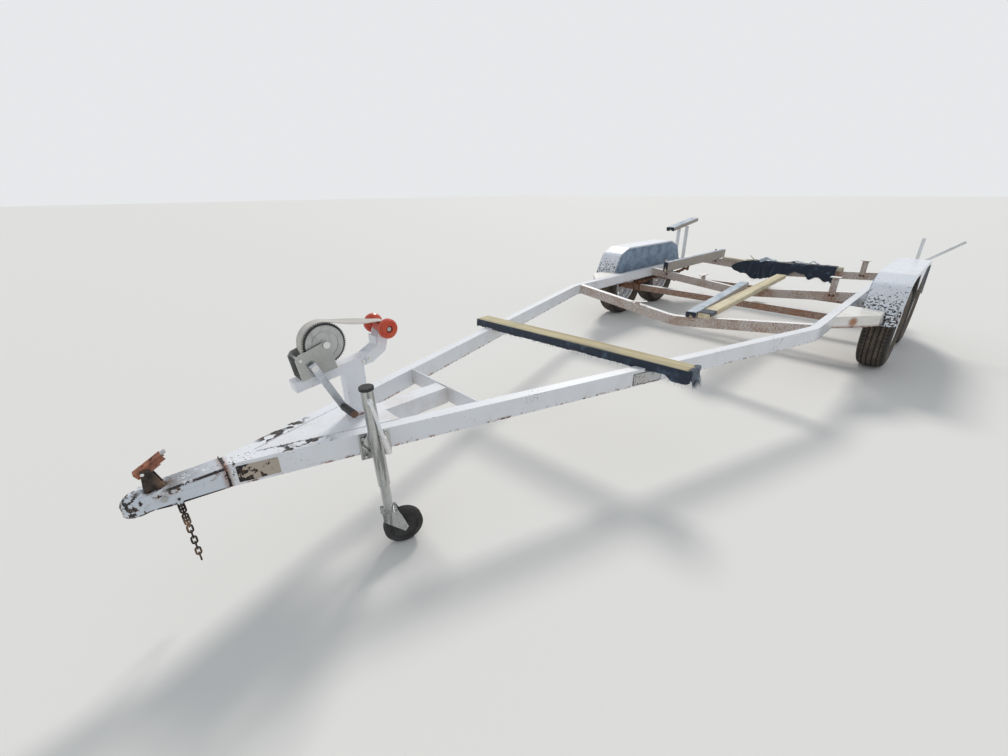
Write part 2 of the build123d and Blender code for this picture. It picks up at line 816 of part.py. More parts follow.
def make_roller_bracket():
    """Two ears on the arm's sides, curved up to the roller's axle, with a web between them."""
    y, z = roller_axis
    end_y, end_z = on_arm(arm_end, 0)
    low = end_z - arm_height
    ear = [
        (end_y - 26, low), (end_y - 2, low), (y - 6, low + 34), (y + 9, z - 44), (y + 17, z - 8),
        (y + 14, z + 10), (y, z + 17), (y - 14, z + 8), (y - 24, z - 20), (y - 40, z - 66),
        (end_y - 26, end_z - 4),
    ]
    x0 = arm_width / 2
    x1 = x0 + ear_thickness
    plate = side_outline(ear, x0, x1) - cylinder_x(roller_axle + 0.05, x0 - 2, x1 + 2, y, z)
    web = box(-x0, x0, y - 42, y - 38, z - 66, z - 28)
    return plate + flip(plate) + web


def make_roller():
    """Two moulded bells on one spool, wide enough apart for the strap and both ears."""
    y, z = roller_axis
    inner = arm_width / 2 + ear_thickness + 1.5
    rim = roller_radius
    outer = roller_outer
    bell = [
        (roller_axle, inner), (roller_waist, inner), (rim - 4, inner + 12), (rim, inner + 20),
        (rim - 1, outer - 8), (rim - 7, outer), (13, outer), (13, outer - 12), (roller_axle, outer - 12),
    ]
    face = make_face(Polyline([(r, 0, x) for r, x in bell], close=True))
    half = Rot(0, 90, 0) * revolve(face, axis=Axis.Z)
    half += cylinder_x(roller_axle, inner - 1, outer - 4)
    spool = cylinder_x(roller_waist, 1.5 - arm_width / 2, arm_width / 2 - 1.5)
    return Pos(0, y, z) * (half + flip(half) + spool + cylinder_x(roller_axle, -inner, inner))


parts["winch_stand"] = make_winch_stand()
parts["roller_bracket"] = make_roller_bracket()
parts["bow_roller"] = make_roller()


# Winch
mesh_radians = math.radians(mesh_angle)
mesh_distance = module * (gear_teeth + pinion_teeth) / 2
crank_axis = (drum_axis[0] + mesh_distance * math.cos(mesh_radians),
              drum_axis[1] + mesh_distance * math.sin(mesh_radians))


def gear_outline(teeth, start):
    """Straight-flanked teeth, the first one centred at the start angle in degrees."""
    pitch = 360 / teeth
    root = module * (teeth / 2 - 1.25)
    tip = module * (teeth / 2 + 0.8)
    points = []
    for i in range(teeth):
        for radius, share in ((root, -0.28), (tip, -0.1), (tip, 0.1), (root, 0.28)):
            angle = math.radians(start + (i + share) * pitch)
            points.append((radius * math.cos(angle), radius * math.sin(angle)))
    return make_face(Polyline(points, close=True))


def wheel_on(axis, face, x0, x1):
    plane = Plane(origin=(x0, axis[0], axis[1]), x_dir=(0, 1, 0), z_dir=(1, 0, 0))
    return extrude(plane * face, amount=x1 - x0)


def make_winch_frame():
    """Folded steel channel, bolted along the arm, that carries both axles."""
    half = winch_half
    outer = half + winch_plate
    top = drum_axis[1]
    side = [
        (winch_front, 0), (winch_rear, 0), (winch_rear - 4, top - 6), (winch_rear - 16, top + 12),
        (winch_front + 14, top - 4), (winch_front, top - 18),
    ]
    body = box(-outer, outer, winch_front, winch_rear, 0.1, 3)
    for x in (-outer, half):
        body += side_outline(side, x, x + winch_plate)
    body -= cylinder_x(winch_axle + 0.05, -outer - 1, outer + 1, *drum_axis)
    body -= cylinder_x(crank_axle + 0.05, -outer - 1, outer + 1, *crank_axis)
    body += cylinder_x(5, -half - 1, half + 1, winch_front + 16, top - 24)
    return arm_place * body


def make_winch_drum():
    """Large gear, strap roll, far flange and axle, which turn together."""
    y, z = drum_axis
    side = strap_width / 2
    outline = gear_outline(gear_teeth, mesh_angle + 180 / gear_teeth)
    gear = wheel_on(drum_axis, outline, side, side + gear_face)
    ring = Circle(gear_ring + 2) - Circle(gear_ring - 2)
    gear -= Pos(0, y, z) * extrude(to_side(ring, side + gear_face - 2), amount=3)
    body = gear + cylinder_x(strap_roll, -side, side, y, z)
    body += cylinder_x(drum_flange, -side - 3, -side, y, z)
    body += cylinder_x(18, -side - 6, side + gear_face + 3, y, z)
    reach = winch_half + winch_plate
    body += cylinder_x(winch_axle, -reach - 3, reach + 3, y, z)
    for x in (-reach - 9, reach + 1):
        body += cylinder_x(12, x, x + 8, y, z)
    return arm_place * body


def make_crank():
    y, z = crank_axis
    side = strap_width / 2
    outline = gear_outline(pinion_teeth, mesh_angle + 180)
    body = wheel_on(crank_axis, outline, side - 0.5, side + gear_face + 0.5)
    reach = winch_half + winch_plate
    body += cylinder_x(crank_axle, -reach - 4, reach + 22, y, z)
    arm = box(reach + 12, reach + 18, -13, 13, -crank_length - 12, 16)
    grip = cylinder_x(5, reach + 17, reach + 24 + grip_length, 0, -crank_length)
    grip += cylinder_x(grip_radius, reach + 22, reach + 22 + grip_length, 0, -crank_length)
    nut = cylinder_x(12, reach + 17, reach + 25, 0, 0)
    return arm_place * (body + Location((0, y, z), (crank_angle, 0, 0)) * (arm + grip + nut))


def make_winch_strap():
    """Webbing from the top of the roll, over the roller's waist, to a loose end behind it."""
    y0, z0 = on_arm(*drum_axis)
    y1, z1 = roller_axis
    near = strap_roll + 2 * running_gap
    far = roller_waist + 2 * running_gap
    run = math.hypot(y1 - y0, z1 - z0)
    angle = math.atan2(z1 - z0, y1 - y0) - math.asin((near - far) / run)
    up = (-math.sin(angle), math.cos(angle))
    t = strap_thickness
    band = []
    for r_near, r_far in ((near, far), (near + t, far + t)):
        start = (y0 + r_near * up[0], z0 + r_near * up[1])
        top = (y1 + r_far * up[0], z1 + r_far * up[1])
        side = (y1 + r_far, z1)
        half_way = (math.pi / 2 + angle) / 2
        middle = (y1 + r_far * math.cos(half_way), z1 + r_far * math.sin(half_way))
        band.append((start, top, middle, side, (y1 + r_far, z1 - strap_hang)))
    low, high = band
    edges = [Line(low[0], high[0]), Line(low[4], high[4])]
    for start, top, middle, side, end in band:
        edges += [Line(start, top), ThreePointArc(top, middle, side), Line(side, end)]
    face = make_face(Curve() + edges)
    return extrude(to_side(face, -strap_width / 2), amount=strap_width)


parts["winch_frame"] = make_winch_frame()
parts["winch_drum"] = make_winch_drum()
parts["winch_crank"] = make_crank()
parts["winch_strap"] = make_winch_strap()


# Bunks and loose timber
def lay_board(start, end, width, thickness):
    """Board whose underside runs from start to end, with its faces square to its run."""
    a = Vector(*start)
    b = Vector(*end)
    run = b - a
    across = Vector(0, 0, 1).cross(run).normalized()
    plane = Plane(origin=a, x_dir=run.normalized(), z_dir=run.cross(across).normalized())
    return plane.location * box(0, run.length, -width / 2, width / 2, 0, thickness)


def support(name, x, half):
    """Height at which a board of a given half width rests on a crossmember."""
    return crossmember_top(name, abs(x) + half) + running_gap


def lay_center(name):
    """Board lying on the front and middle crossmembers."""
    x0, x1, reach, width, thickness = center_rows[name]
    rows = {row[0]: row[1] for row in crossmember_rows}
    ya = rows["crossmember_front"]
    yb = rows["crossmember_middle"]
    y0 = ya - bunk_overhang
    y1 = yb + reach
    heights = []
    for row in ("crossmember_front", "crossmember_middle"):
        x = x0 + (x1 - x0) * (rows[row] - y0) / (y1 - y0)
        heights.append(support(row, x, width / 2 + carpet))
    slope = (heights[1] - heights[0]) / (yb - ya)
    start = (x0, y0, heights[0] + slope * (y0 - ya))
    end = (x1, y1, heights[0] + slope * (y1 - ya))
    return lay_board(start, end, width, thickness)


def make_brackets():
    """T brackets for the side bunks on the middle and rear crossmembers, and two small ones."""
    made = []
    rows = {row[0]: row[1] for row in crossmember_rows}
    sheet = bracket_sheet
    for name in ("crossmember_middle", "crossmember_rear"):
        face = rows[name] - crossmember_width / 2 - running_gap
        low = crossmember_top(name, bunk_x) - 60
        leg = box(bunk_x - 25, bunk_x + 25, face - sheet, face, low, bracket_top)
        cap = box(bunk_x - 38, bunk_x + 38, face - 34, face + 28, bracket_top - sheet, bracket_top)
        made.append(leg + cap)
        far = -bunk_x
        foot = box(far - 25, far + 25, face - sheet, face, low, crossmember_top(name, bunk_x) - sheet)
        ear = box(far - sheet / 2, far + sheet / 2, face - 46, face, low, bracket_top - sheet)
        made.append(foot + ear)
    for name, x, height, turn in small_rows:
        face = rows[name] - crossmember_width / 2 - running_gap
        level = crossmember_top(name, x)
        leg = box(x - 20, x + 20, face - sheet, face, level - 55, level + height)
        cap = Location((x, face - sheet / 2, level + height), (0, 0, turn)) * box(-75, 75, -16, 16, -sheet, 0)
        made.append(leg + cap)
    return Compound(made)


def make_side_bunk():
    x = -bunk_x + 3 + running_gap
    wide = board_thickness + 2 * carpet
    low = crossmember_top("crossmember_rear", bunk_x) + running_gap
    return box(x, x + wide, bunk_front, bunk_rear, low, low + board_width + 2 * carpet)


def make_front_board():
    level = rail_top + running_gap
    start = (*front_board_start, level)
    end = (*front_board_end, level)
    return lay_board(start, end, board_width + 2 * carpet, board_thickness)


def make_board_carpet():
    """Carpet that hangs loose from the front edge and folds under the overhanging end."""
    run = math.dist(front_board_start, front_board_end)
    across, along = [b - a for a, b in zip(front_board_start, front_board_end)]
    front = -board_width / 2 - carpet - running_gap
    sheet = carpet + 2
    fold = run - fold_length
    flap = box(0, run, front - sheet, front, 0, board_thickness)
    drop = box(fold, run, front - sheet, front, -34, 10)
    under = box(fold, run, front - sheet, board_width / 2, -sheet - running_gap, -running_gap)
    turn = math.degrees(math.atan2(along, across))
    return Location((*front_board_start, rail_top + running_gap), (0, 0, turn)) * (flap + drop + under)


parts["bunk_brackets"] = make_brackets()
parts["side_bunk_right"] = make_side_bunk()
for name in center_rows:
    parts[name] = lay_center(name)
parts["front_board"] = make_front_board()
parts["front_board_carpet"] = make_board_carpet()


# Broken boards and carpet on the rear crossmember
def make_broken_boards():
    name, y, drop = crossmember_rows[2]
    pieces = []
    for x0, x1, forward, width, thickness in broken_rows:
        start = (x0, y - forward, support(name, x0, 0))
        end = (x1, y - forward / 3, support(name, x1, 0))
        pieces.append(lay_board(start, end, width, thickness))
    return Compound(pieces)


def make_carpet_heap():
    """Carpet draped over the broken board, open below."""
    name, y, drop = crossmember_rows[2]
    x0, x1 = broken_rows[0][:2]
    rise = support(name, x1, 0) - support(name, x0, 0)
    tilt = math.degrees(math.atan2(rise, x1 - x0))
    place = Location((heap_start, y, support(name, x0, 0) + 2 * running_gap), (0, -tilt, 0))
    half = board_width / 2 + 1
    top = board_thickness + 1
    outer = half + carpet
    section = [
        (-outer, -heap_front), (-half, -heap_front), (-half, top), (half, top),
        (half, -heap_rear), (outer, -heap_rear), (outer, top + carpet), (-outer, top + carpet),
    ]
    return place * side_outline(section, 0, heap_length)


parts["broken_boards"] = make_broken_boards()
parts["carpet_heap"] = make_carpet_heap()


# Guide posts, standing on the rear fender steps
def make_posts(side, sleeved):
    low = rail_top - 1 + running_gap
    radius = sleeve_radius if sleeved else guide_radius
    inner = tube_z(radius, low, low + guide_height, side * guide_inner_x, guide_y)
    outer = tube_z(radius, low, low + guide_height, side * guide_outer_x, guide_y)
    feet = [tube_z(radius + 7, low, low + 6, side * x, guide_y) for x in (guide_inner_x, guide_outer_x)]
    return inner, outer, feet


def make_guides_right():
    inner, outer, feet = make_posts(-1, True)
    return Compound([inner + feet[0], outer + feet[1]])


def make_guides_left():
    """One post upright, the other bent outward near its foot."""
    inner, outer, feet = make_posts(1, False)
    low = rail_top - 1 + running_gap
    lean, reach = guide_bend
    x = guide_inner_x
    bent = FilletPolyline((x, low), (x, low + 50), (x + lean, low + reach), radius=60)
    path = Plane(origin=(0, guide_y, 0), x_dir=(1, 0, 0), z_dir=(0, -1, 0)) * bent
    start = Plane(origin=(x, guide_y, low), z_dir=(0, 0, 1))
    pipe = sweep(start * Circle(guide_radius), path=path)
    return Compound([outer + feet[1], pipe + feet[0]])


def make_guide_board():
    """Carpeted board on top of the right posts, rising toward the rear."""
    x = -(guide_inner_x + guide_outer_x) / 2
    rise = guide_board_rise / (guide_board_front + guide_board_rear)
    level = rail_top - 1 + 2 * running_gap + guide_height + sleeve_radius * rise
    start = (x, guide_y - guide_board_front, level - guide_board_front * rise)
    end = (x, guide_y + guide_board_rear, level + guide_board_rear * rise)
    return lay_board(start, end, guide_board_width, guide_board_thickness)


parts["guide_posts_right"] = make_guides_right()
parts["guide_posts_left"] = make_guides_left()
parts["guide_board_right"] = make_guide_board()


os.makedirs("parts", exist_ok=True)
for name, shape in parts.items():
    export_step(shape, "parts/" + name + ".step")
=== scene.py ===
import math
import random

import bmesh
import bpy
from mathutils import Matrix, Vector, noise


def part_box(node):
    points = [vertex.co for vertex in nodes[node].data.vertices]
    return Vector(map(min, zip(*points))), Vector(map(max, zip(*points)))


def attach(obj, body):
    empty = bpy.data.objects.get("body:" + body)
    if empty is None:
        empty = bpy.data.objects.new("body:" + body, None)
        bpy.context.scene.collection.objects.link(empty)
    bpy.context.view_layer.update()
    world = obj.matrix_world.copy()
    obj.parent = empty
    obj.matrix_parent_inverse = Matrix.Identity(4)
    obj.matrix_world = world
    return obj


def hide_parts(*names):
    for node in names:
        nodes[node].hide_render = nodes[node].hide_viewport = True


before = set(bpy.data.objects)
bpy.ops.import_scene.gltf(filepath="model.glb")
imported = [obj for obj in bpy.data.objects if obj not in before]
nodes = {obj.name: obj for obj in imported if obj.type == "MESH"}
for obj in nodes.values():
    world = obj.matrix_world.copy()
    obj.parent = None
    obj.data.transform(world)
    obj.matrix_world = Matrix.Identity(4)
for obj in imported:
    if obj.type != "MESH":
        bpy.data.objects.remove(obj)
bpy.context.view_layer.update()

# Sizes and places in the row frame, in metres. Left is +X.
SIDES = (("left", 1), ("right", -1))
GROUND = -0.460
RAIL_TOP = 0.035
RAIL_BOTTOM = -0.049
RAIL_WIDTH = 0.050
RAIL_OUTER = 0.969
TONGUE_FRONT = 0.226
BEND_Y = 3.285
TONGUE_ANGLE = math.radians(17.10)
TYRE_RADIUS = 0.315
DRUM_AXIS = (0.614106, 0.353971)
ROLLER_AXIS = (0.846, 0.366)
CRANK_AXIS = (0.556695, 0.286751)
LATCH_AXIS = (0.022, 0.077)
LATCH_TILT = math.radians(27.5)
COUPLER_BOSS_Y = 0.060

# Camera, where the photograph was taken
CAMERA_PLACE = Vector((1.506, 0.080, 0.843))
CAMERA_RIGHT = Vector((0.68894, 0.72477, -0.00899))
CAMERA_DOWN = Vector((0.28261, -0.28003, -0.91745))
CAMERA_LENS = 15.506
CAMERA_SENSOR = 36.0


def add_object(name, data):
    made = bpy.data.objects.new(name, data)
    bpy.context.scene.collection.objects.link(made)
    return made


def turned(place, *axes):
    """Place whose own three axes point along these."""
    return Matrix.Translation(place) @ Matrix(axes).transposed().to_4x4()


def make_camera():
    data = bpy.data.cameras.new("camera")
    data.lens = CAMERA_LENS
    data.sensor_width = CAMERA_SENSOR
    data.clip_start = 0.05
    data.clip_end = 200
    camera = add_object("camera", data)
    up = -CAMERA_DOWN.normalized()
    back = CAMERA_RIGHT.cross(up).normalized()
    camera.matrix_world = turned(CAMERA_PLACE, up.cross(back), up, back)
    bpy.context.scene.camera = camera


# Materials, each kept by its name
finishes = {}


class Finish:
    """One material's nodes. Patterns are laid out in the object's own metres."""

    def __init__(self, name, **sockets):
        self.material = finishes[name] = bpy.data.materials.new(name)
        self.material.use_nodes = True
        self.nodes = self.material.node_tree.nodes
        self.shader = self.nodes["Principled BSDF"]
        self.place = self.node("TexCoord").outputs["Object"]
        self.set(**sockets)

    def feed(self, value, socket):
        if isinstance(value, bpy.types.NodeSocket):
            self.material.node_tree.links.new(value, socket)
        elif isinstance(value, tuple) and len(value) == 3 and len(socket.default_value) == 4:
            socket.default_value = (*value, 1)
        else:
            socket.default_value = value

    def set(self, **sockets):
        for name, value in sockets.items():
            self.feed(value, self.shader.inputs[name.replace("_", " ")])

    def node(self, kind, inputs=(), **settings):
        made = self.nodes.new("ShaderNode" + kind)
        for name, value in settings.items():
            setattr(made, name, value)
        for key, value in dict(inputs).items():
            self.feed(value, made.inputs[key])
        return made

    def stretched(self, x, y, z):
        return self.node("Mapping", {"Vector": self.place, "Scale": (x, y, z)}).outputs[0]

    def noise(self, scale, detail=3.0, rough=0.5, at=None, distortion=0.0):
        inputs = {"Vector": at or self.place, "Scale": scale, "Detail": detail,
                  "Roughness": rough, "Distortion": distortion}
        return self.node("TexNoise", inputs).outputs[0]

    def cells(self, scale, output="Distance"):
        return self.node("TexVoronoi", {"Vector": self.place, "Scale": scale}).outputs[output]

    def band(self, value, low, high, to_low=0.0, to_high=1.0):
        """Ramps smoothly from to_low at low to to_high at high."""
        inputs = dict(enumerate((value, low, high, to_low, to_high)))
        return self.node("MapRange", inputs, interpolation_type="SMOOTHSTEP").outputs[0]

    def math(self, operation, value, *others):
        for other in others or (0.0,):
            value = self.node("Math", {0: value, 1: other}, operation=operation).outputs[0]
        return value

    def times(self, *values):
        return self.math("MULTIPLY", *values)

    def most(self, *values):
        return self.math("MAXIMUM", *values)

    def plus(self, *values):
        return self.math("ADD", *values)

    def less(self, value, other):
        return self.math("SUBTRACT", value, other)

    def size(self, value):
        return self.math("ABSOLUTE", value)

    def vector(self, operation, a, b):
        return self.node("VectorMath", {0: a, 1: b}, operation=operation).outputs["Value"]

    def axis(self, letter, source=None):
        return self.node("SeparateXYZ", {0: source or self.place}).outputs["XYZ".index(letter)]

    def away(self, letter, place):
        """Distance from a place along an axis."""
        return self.size(self.less(self.axis(letter), place))

    def radius(self, y=0.0, z=0.0):
        """Distance from a line along X."""
        squares = [self.math("POWER", self.less(self.axis(letter), place), 2.0)
                   for letter, place in (("Y", y), ("Z", z))]
        return self.math("SQRT", self.plus(*squares))

    def normal(self):
        return self.node("NewGeometry").outputs["Normal"]

    def facing(self, letter):
        """The surface normal's share along an axis of the frame."""
        return self.axis(letter, self.normal())

    def mix(self, share, a, b):
        return self.node("Mix", {0: share, 6: a, 7: b}, data_type="RGBA").outputs[2]

    def edges(self, radius):
        """About 1 along edges that stand out or turn in, 0 on flat faces."""
        soft = self.node("Bevel", {"Radius": radius}, samples=4).outputs[0]
        return self.band(self.vector("DOT_PRODUCT", soft, self.normal()), 0.995, 0.86)

    def bump(self, height, distance, strength=1.0):
        inputs = {"Height": height, "Distance": distance, "Strength": strength}
        if self.shader.inputs["Normal"].is_linked:
            inputs["Normal"] = self.shader.inputs["Normal"].links[0].from_socket
        self.set(Normal=self.node("Bump", inputs).outputs[0])


def shade(colour, share):
    return tuple(min(1, c * share) for c in colour)


# Paint and metal
WHITE_PAINT = (0.78, 0.80, 0.84)
DUST = (0.46, 0.36, 0.27)
RUSTY_RIM = (0.42, 0.20, 0.10)
RUST = ((0.33, 0.12, 0.04), (0.20, 0.075, 0.030))
ORANGE_STAIN = ((0.46, 0.20, 0.07), (0.24, 0.09, 0.03))
BARE_STEEL = ((0.010, 0.009, 0.010), (0.075, 0.036, 0.022))


def painted(name, colour=WHITE_PAINT, chips=0.5, grime=0.35, gather=None, rust=None, flaked=None,
            scraped=None, stained=None, speck=120.0, rims=0.4, spread=1.0):
    """Old gloss paint: chips to dark steel with rusty rims, edge wear and settled dust.

    gather, rust, flaked, scraped and stained are functions of the finish: extra chips, rust, angular flakes,
    bare steel and an orange stain by place. speck is the chips' scale, rims how rusty they are round the
    edge, spread how far they stray.
    """
    f = Finish(name, Roughness=0.32, Coat_Weight=0.25, Coat_Roughness=0.2)
    specks = f.noise(speck, 3, 0.62)
    flakes = f.noise(34, 4, 0.65)
    wear = f.band(f.noise(3.2, 2), 0.42, 0.68, 0.0, spread)
    if gather:
        wear = f.most(wear, gather(f))
    give = f.times(wear, 0.16 * chips + 0.02)
    low = f.less(0.80 - 0.12 * chips, give)
    flake_low = f.less(0.86 - 0.10 * chips, give)
    bare = f.most(f.band(specks, low, f.plus(low, 0.02)),
                  f.band(flakes, flake_low, f.plus(flake_low, 0.015)),
                  f.times(f.edges(0.004), f.band(f.noise(46, 4, 0.7), 0.60 - 0.08 * chips, 0.66)))
    if flaked:
        bare = f.most(bare, f.times(f.band(f.axis("X", f.cells(46, "Color")), 0.50, 0.54), flaked(f)))
    if scraped:
        bare = f.most(bare, scraped(f))
    rim = f.most(f.band(specks, f.less(low, 0.035), low), f.band(flakes, f.less(flake_low, 0.03), flake_low))
    settled = f.times(f.band(f.noise(7, 5, 0.62), 0.40, 0.78), grime)
    tint = f.mix(f.times(rim, rims), f.mix(settled, colour, DUST), RUSTY_RIM)
    if stained:
        tint = f.mix(stained(f), tint, f.mix(f.noise(90, 3), *ORANGE_STAIN))
    if rust:
        stain = rust(f)
        tint = f.mix(stain, tint, f.mix(f.noise(60, 4), *RUST))
        bare = f.most(bare, f.band(f.times(stain, f.noise(28, 3)), 0.36, 0.44))
    f.set(Base_Color=f.mix(bare, tint, f.mix(f.band(f.noise(75, 3), 0.5, 0.7), *BARE_STEEL)))
    f.set(Roughness=f.plus(f.times(bare, 0.45), f.band(settled, 0.0, 0.4, 0.28, 0.55)))
    f.bump(f.noise(9, 2), 0.0012, 0.25)
    f.bump(f.times(bare, -1.0), 0.0006, 0.8)


def rusty(name, light=(0.30, 0.13, 0.06), dark=(0.055, 0.028, 0.02)):
    f = Finish(name, Metallic=0.25)
    scale = f.noise(38, 6, 0.7)
    pits = f.noise(260, 3, 0.6)
    tint = f.mix(f.band(scale, 0.35, 0.66), dark, light)
    tint = f.mix(f.band(f.noise(9, 3), 0.52, 0.75), tint, (0.36, 0.22, 0.13))
    f.set(Base_Color=tint, Roughness=f.band(pits, 0.3, 0.7, 0.68, 0.92))
    f.bump(scale, 0.0016, 0.7)
    f.bump(pits, 0.0005, 0.7)


def plated(name, colour, rough, spangle=0.25, rust=0.25, reflection_streaks=0.0, edge=0.3):
    """Dull zinc: spangled, with white bloom, dark streaks down it that are a painted reflection, edges
    lighter partly from rubbing and partly as a painted highlight, and a little rust in its pits.
    """
    f = Finish(name, Metallic=0.85)
    bloom = f.noise(14, 5, 0.65)
    tint = f.mix(f.times(f.band(f.cells(85), 0.1, 0.7), spangle), colour, shade(colour, 0.55))
    tint = f.mix(f.band(bloom, 0.55, 0.8, 0, 0.5), tint, (0.42, 0.41, 0.39))
    # Painted reflection: dark streaks down the zinc, standing in for the dark band that a bright tube
    # reflects.
    reflection_runs = f.noise(1.0, 3, 0.5, f.stretched(52, 52, 3.5))
    tint = f.mix(f.band(reflection_runs, 0.50, 0.62, 0, reflection_streaks), tint, shade(colour, 0.16))
    # Lighter edges: partly rubbed zinc, partly painted highlight.
    tint = f.mix(f.times(f.edges(0.0015), edge), tint, (0.86, 0.86, 0.85))
    pits = f.band(f.noise(95, 4, 0.7), 0.74 - 0.14 * rust, 0.80 - 0.14 * rust)
    f.set(Base_Color=f.mix(pits, tint, (0.22, 0.10, 0.05)), Metallic=f.band(bloom, 0.5, 0.8, 0.9, 0.45),
          Roughness=f.band(bloom, 0.35, 0.75, rough - 0.1, rough + 0.2))
    f.bump(bloom, 0.0006, 0.35)


def member_paint(name, dark=(0.30, 0.21, 0.16), dirt=(0.54, 0.47, 0.43), kept_share=0.6, lit_top_white=0.80):
    """White on top, dusty rust over mottled paint on the upright faces. The split by which way a face looks
    is partly painted light and shade: lit white tops, shaded darker uprights.
    """
    f = Finish(name, Roughness=0.6)
    fine = f.noise(105, 5, 0.72)
    broad = f.noise(6, 4, 0.6)
    tint = f.mix(f.band(fine, 0.36, 0.62), dark, dirt)
    tint = f.mix(f.band(broad, 0.48, 0.70, 0, 0.8), tint, (0.29, 0.14, 0.075))
    kept = f.band(f.plus(fine, f.times(broad, -0.22)), 0.33, 0.45, 0, kept_share)
    shaded_side_tint = f.mix(kept, tint, (0.68, 0.65, 0.63))
    lit_top_tint = f.mix(f.band(f.noise(30, 4, 0.7), 0.60, 0.70), (lit_top_white,) * 3, (0.36, 0.24, 0.16))
    # Painted light and shade: faces that look up get the white top colour, upright ones the darker mottled
    # one.
    top = f.band(f.facing("Z"), 0.55, 0.85)
    f.set(Base_Color=f.mix(top, shaded_side_tint, lit_top_tint), Roughness=f.band(top, 0, 1, 0.85, 0.4))
    f.bump(fine, 0.0010, 0.6)


# Painted shade: a near-black ring in the roots of the gear's teeth, where shade falls between them, as radii
# where it starts, is full, thins and ends
ROOT_SHADE = (0.0655, 0.0680, 0.0742, 0.0752)


def gear_steel(name):
    """Dull zinc with a ring of painted shade in the roots of its teeth."""
    f = Finish(name, Metallic=0.8, Roughness=0.42)
    radius = f.radius(*DRUM_AXIS)
    start, full, thin, end = ROOT_SHADE
    # This ring mask is painted shade in the teeth's roots, not grease.
    grease = f.times(f.band(radius, start, full), f.band(radius, end, thin))
    tint = f.mix(f.band(f.noise(24, 4, 0.6), 0.40, 0.72), (0.50, 0.51, 0.51), (0.33, 0.33, 0.33))
    f.set(Base_Color=f.mix(f.times(grease, 0.93), tint, (0.022, 0.021, 0.022)))
    f.bump(f.noise(60, 3), 0.0004, 0.4)


# Rubber, plastic, fibre and wood
def rubber(name, dust, dirt):
    f = Finish(name)
    settled = f.band(f.noise(16, 5, 0.7), 0.32, 0.75)
    fine = f.noise(240, 3)
    f.set(Base_Color=f.mix(f.times(settled, dust), (0.022, 0.021, 0.021), dirt),
          Roughness=f.band(fine, 0.3, 0.7, 0.68, 0.92))
    f.bump(fine, 0.0004, 0.5)


def tyre_rubber(name):
    """Dusty ribs and sidewalls with dark grooves between. Laid out about the wheel's axis."""
    f = Finish(name)
    radius = f.radius()
    settled = f.band(f.noise(18, 5, 0.7), 0.30, 0.72)
    grooves = f.band(radius, TYRE_RADIUS - 0.0015, TYRE_RADIUS - 0.006)
    shoulder = f.band(radius, TYRE_RADIUS - 0.05, TYRE_RADIUS - 0.025)
    dust = f.times(f.band(settled, 0.0, 1.0, 0.12, 0.62), f.less(1.0, f.times(grooves, shoulder, 0.8)))
    rings = f.math("SINE", f.times(radius, 900.0))
    f.set(Base_Color=f.mix(dust, (0.020, 0.019, 0.019), (0.19, 0.145, 0.105)),
          Roughness=f.band(settled, 0, 1, 0.68, 0.95))
    f.bump(f.times(rings, f.band(radius, TYRE_RADIUS - 0.05, TYRE_RADIUS - 0.06)), 0.0003, 0.3)
    f.bump(f.noise(260, 3), 0.0004, 0.5)


def carpet(name, colour, worn, bare_share, side=None, end=None):
    """Needled marine carpet: short matted fibre, worn pale where it is thin.

    side is a colour for upright faces across the trailer, and end one for those that face along it; end is
    painted shade, a near-black colour on the boards' ends, which lie in shade.
    """
    f = Finish(name, Roughness=0.95, Sheen_Weight=0.35, Sheen_Roughness=0.5)
    fibre = f.noise(520, 4, 0.75)
    wear = f.band(f.noise(11, 5, 0.7), 0.62 - bare_share * 0.35, 0.80 - bare_share * 0.2)
    tint = f.mix(f.band(fibre, 0.32, 0.68), shade(colour, 0.45), shade(colour, 1.35))
    tint = f.mix(f.times(wear, f.band(fibre, 0.25, 0.6)), tint, worn)
    if side:
        upright = f.band(f.size(f.facing("X")), 0.6, 0.85, 0, 0.85)
        tint = f.mix(upright, tint, f.mix(fibre, shade(side, 0.6), side))
    # Painted shade: faces that look along the trailer, the boards' ends, get the near-black end colour.
    if end:
        tint = f.mix(f.band(f.size(f.facing("Y")), 0.6, 0.85), tint, end)
    f.set(Base_Color=tint)
    f.bump(f.plus(fibre, f.times(f.cells(330), 0.6)), 0.0022, 0.9)


def timber(name, colour, dark, green=0.0):
    """Weathered softwood with its grain along the piece's own length."""
    f = Finish(name, Roughness=0.85)
    run = f.stretched(1.6, 34, 34)
    grain = f.noise(1.0, 5, 0.62, run, 0.6)
    fine = f.noise(5.5, 4, 0.7, run)
    tint = f.mix(f.band(grain, 0.36, 0.66), colour, dark)
    tint = f.mix(f.band(fine, 0.55, 0.72, 0, 0.5), tint, shade(dark, 0.42))
    f.set(Base_Color=f.mix(f.band(f.noise(6, 4), 0.48, 0.8, 0, 0.5 + green), tint, (0.34, 0.32, 0.24)))
    f.bump(fine, 0.0012, 0.7)
    f.bump(grain, 0.0014, 0.4)


STRAP_SEAM = 0.0165


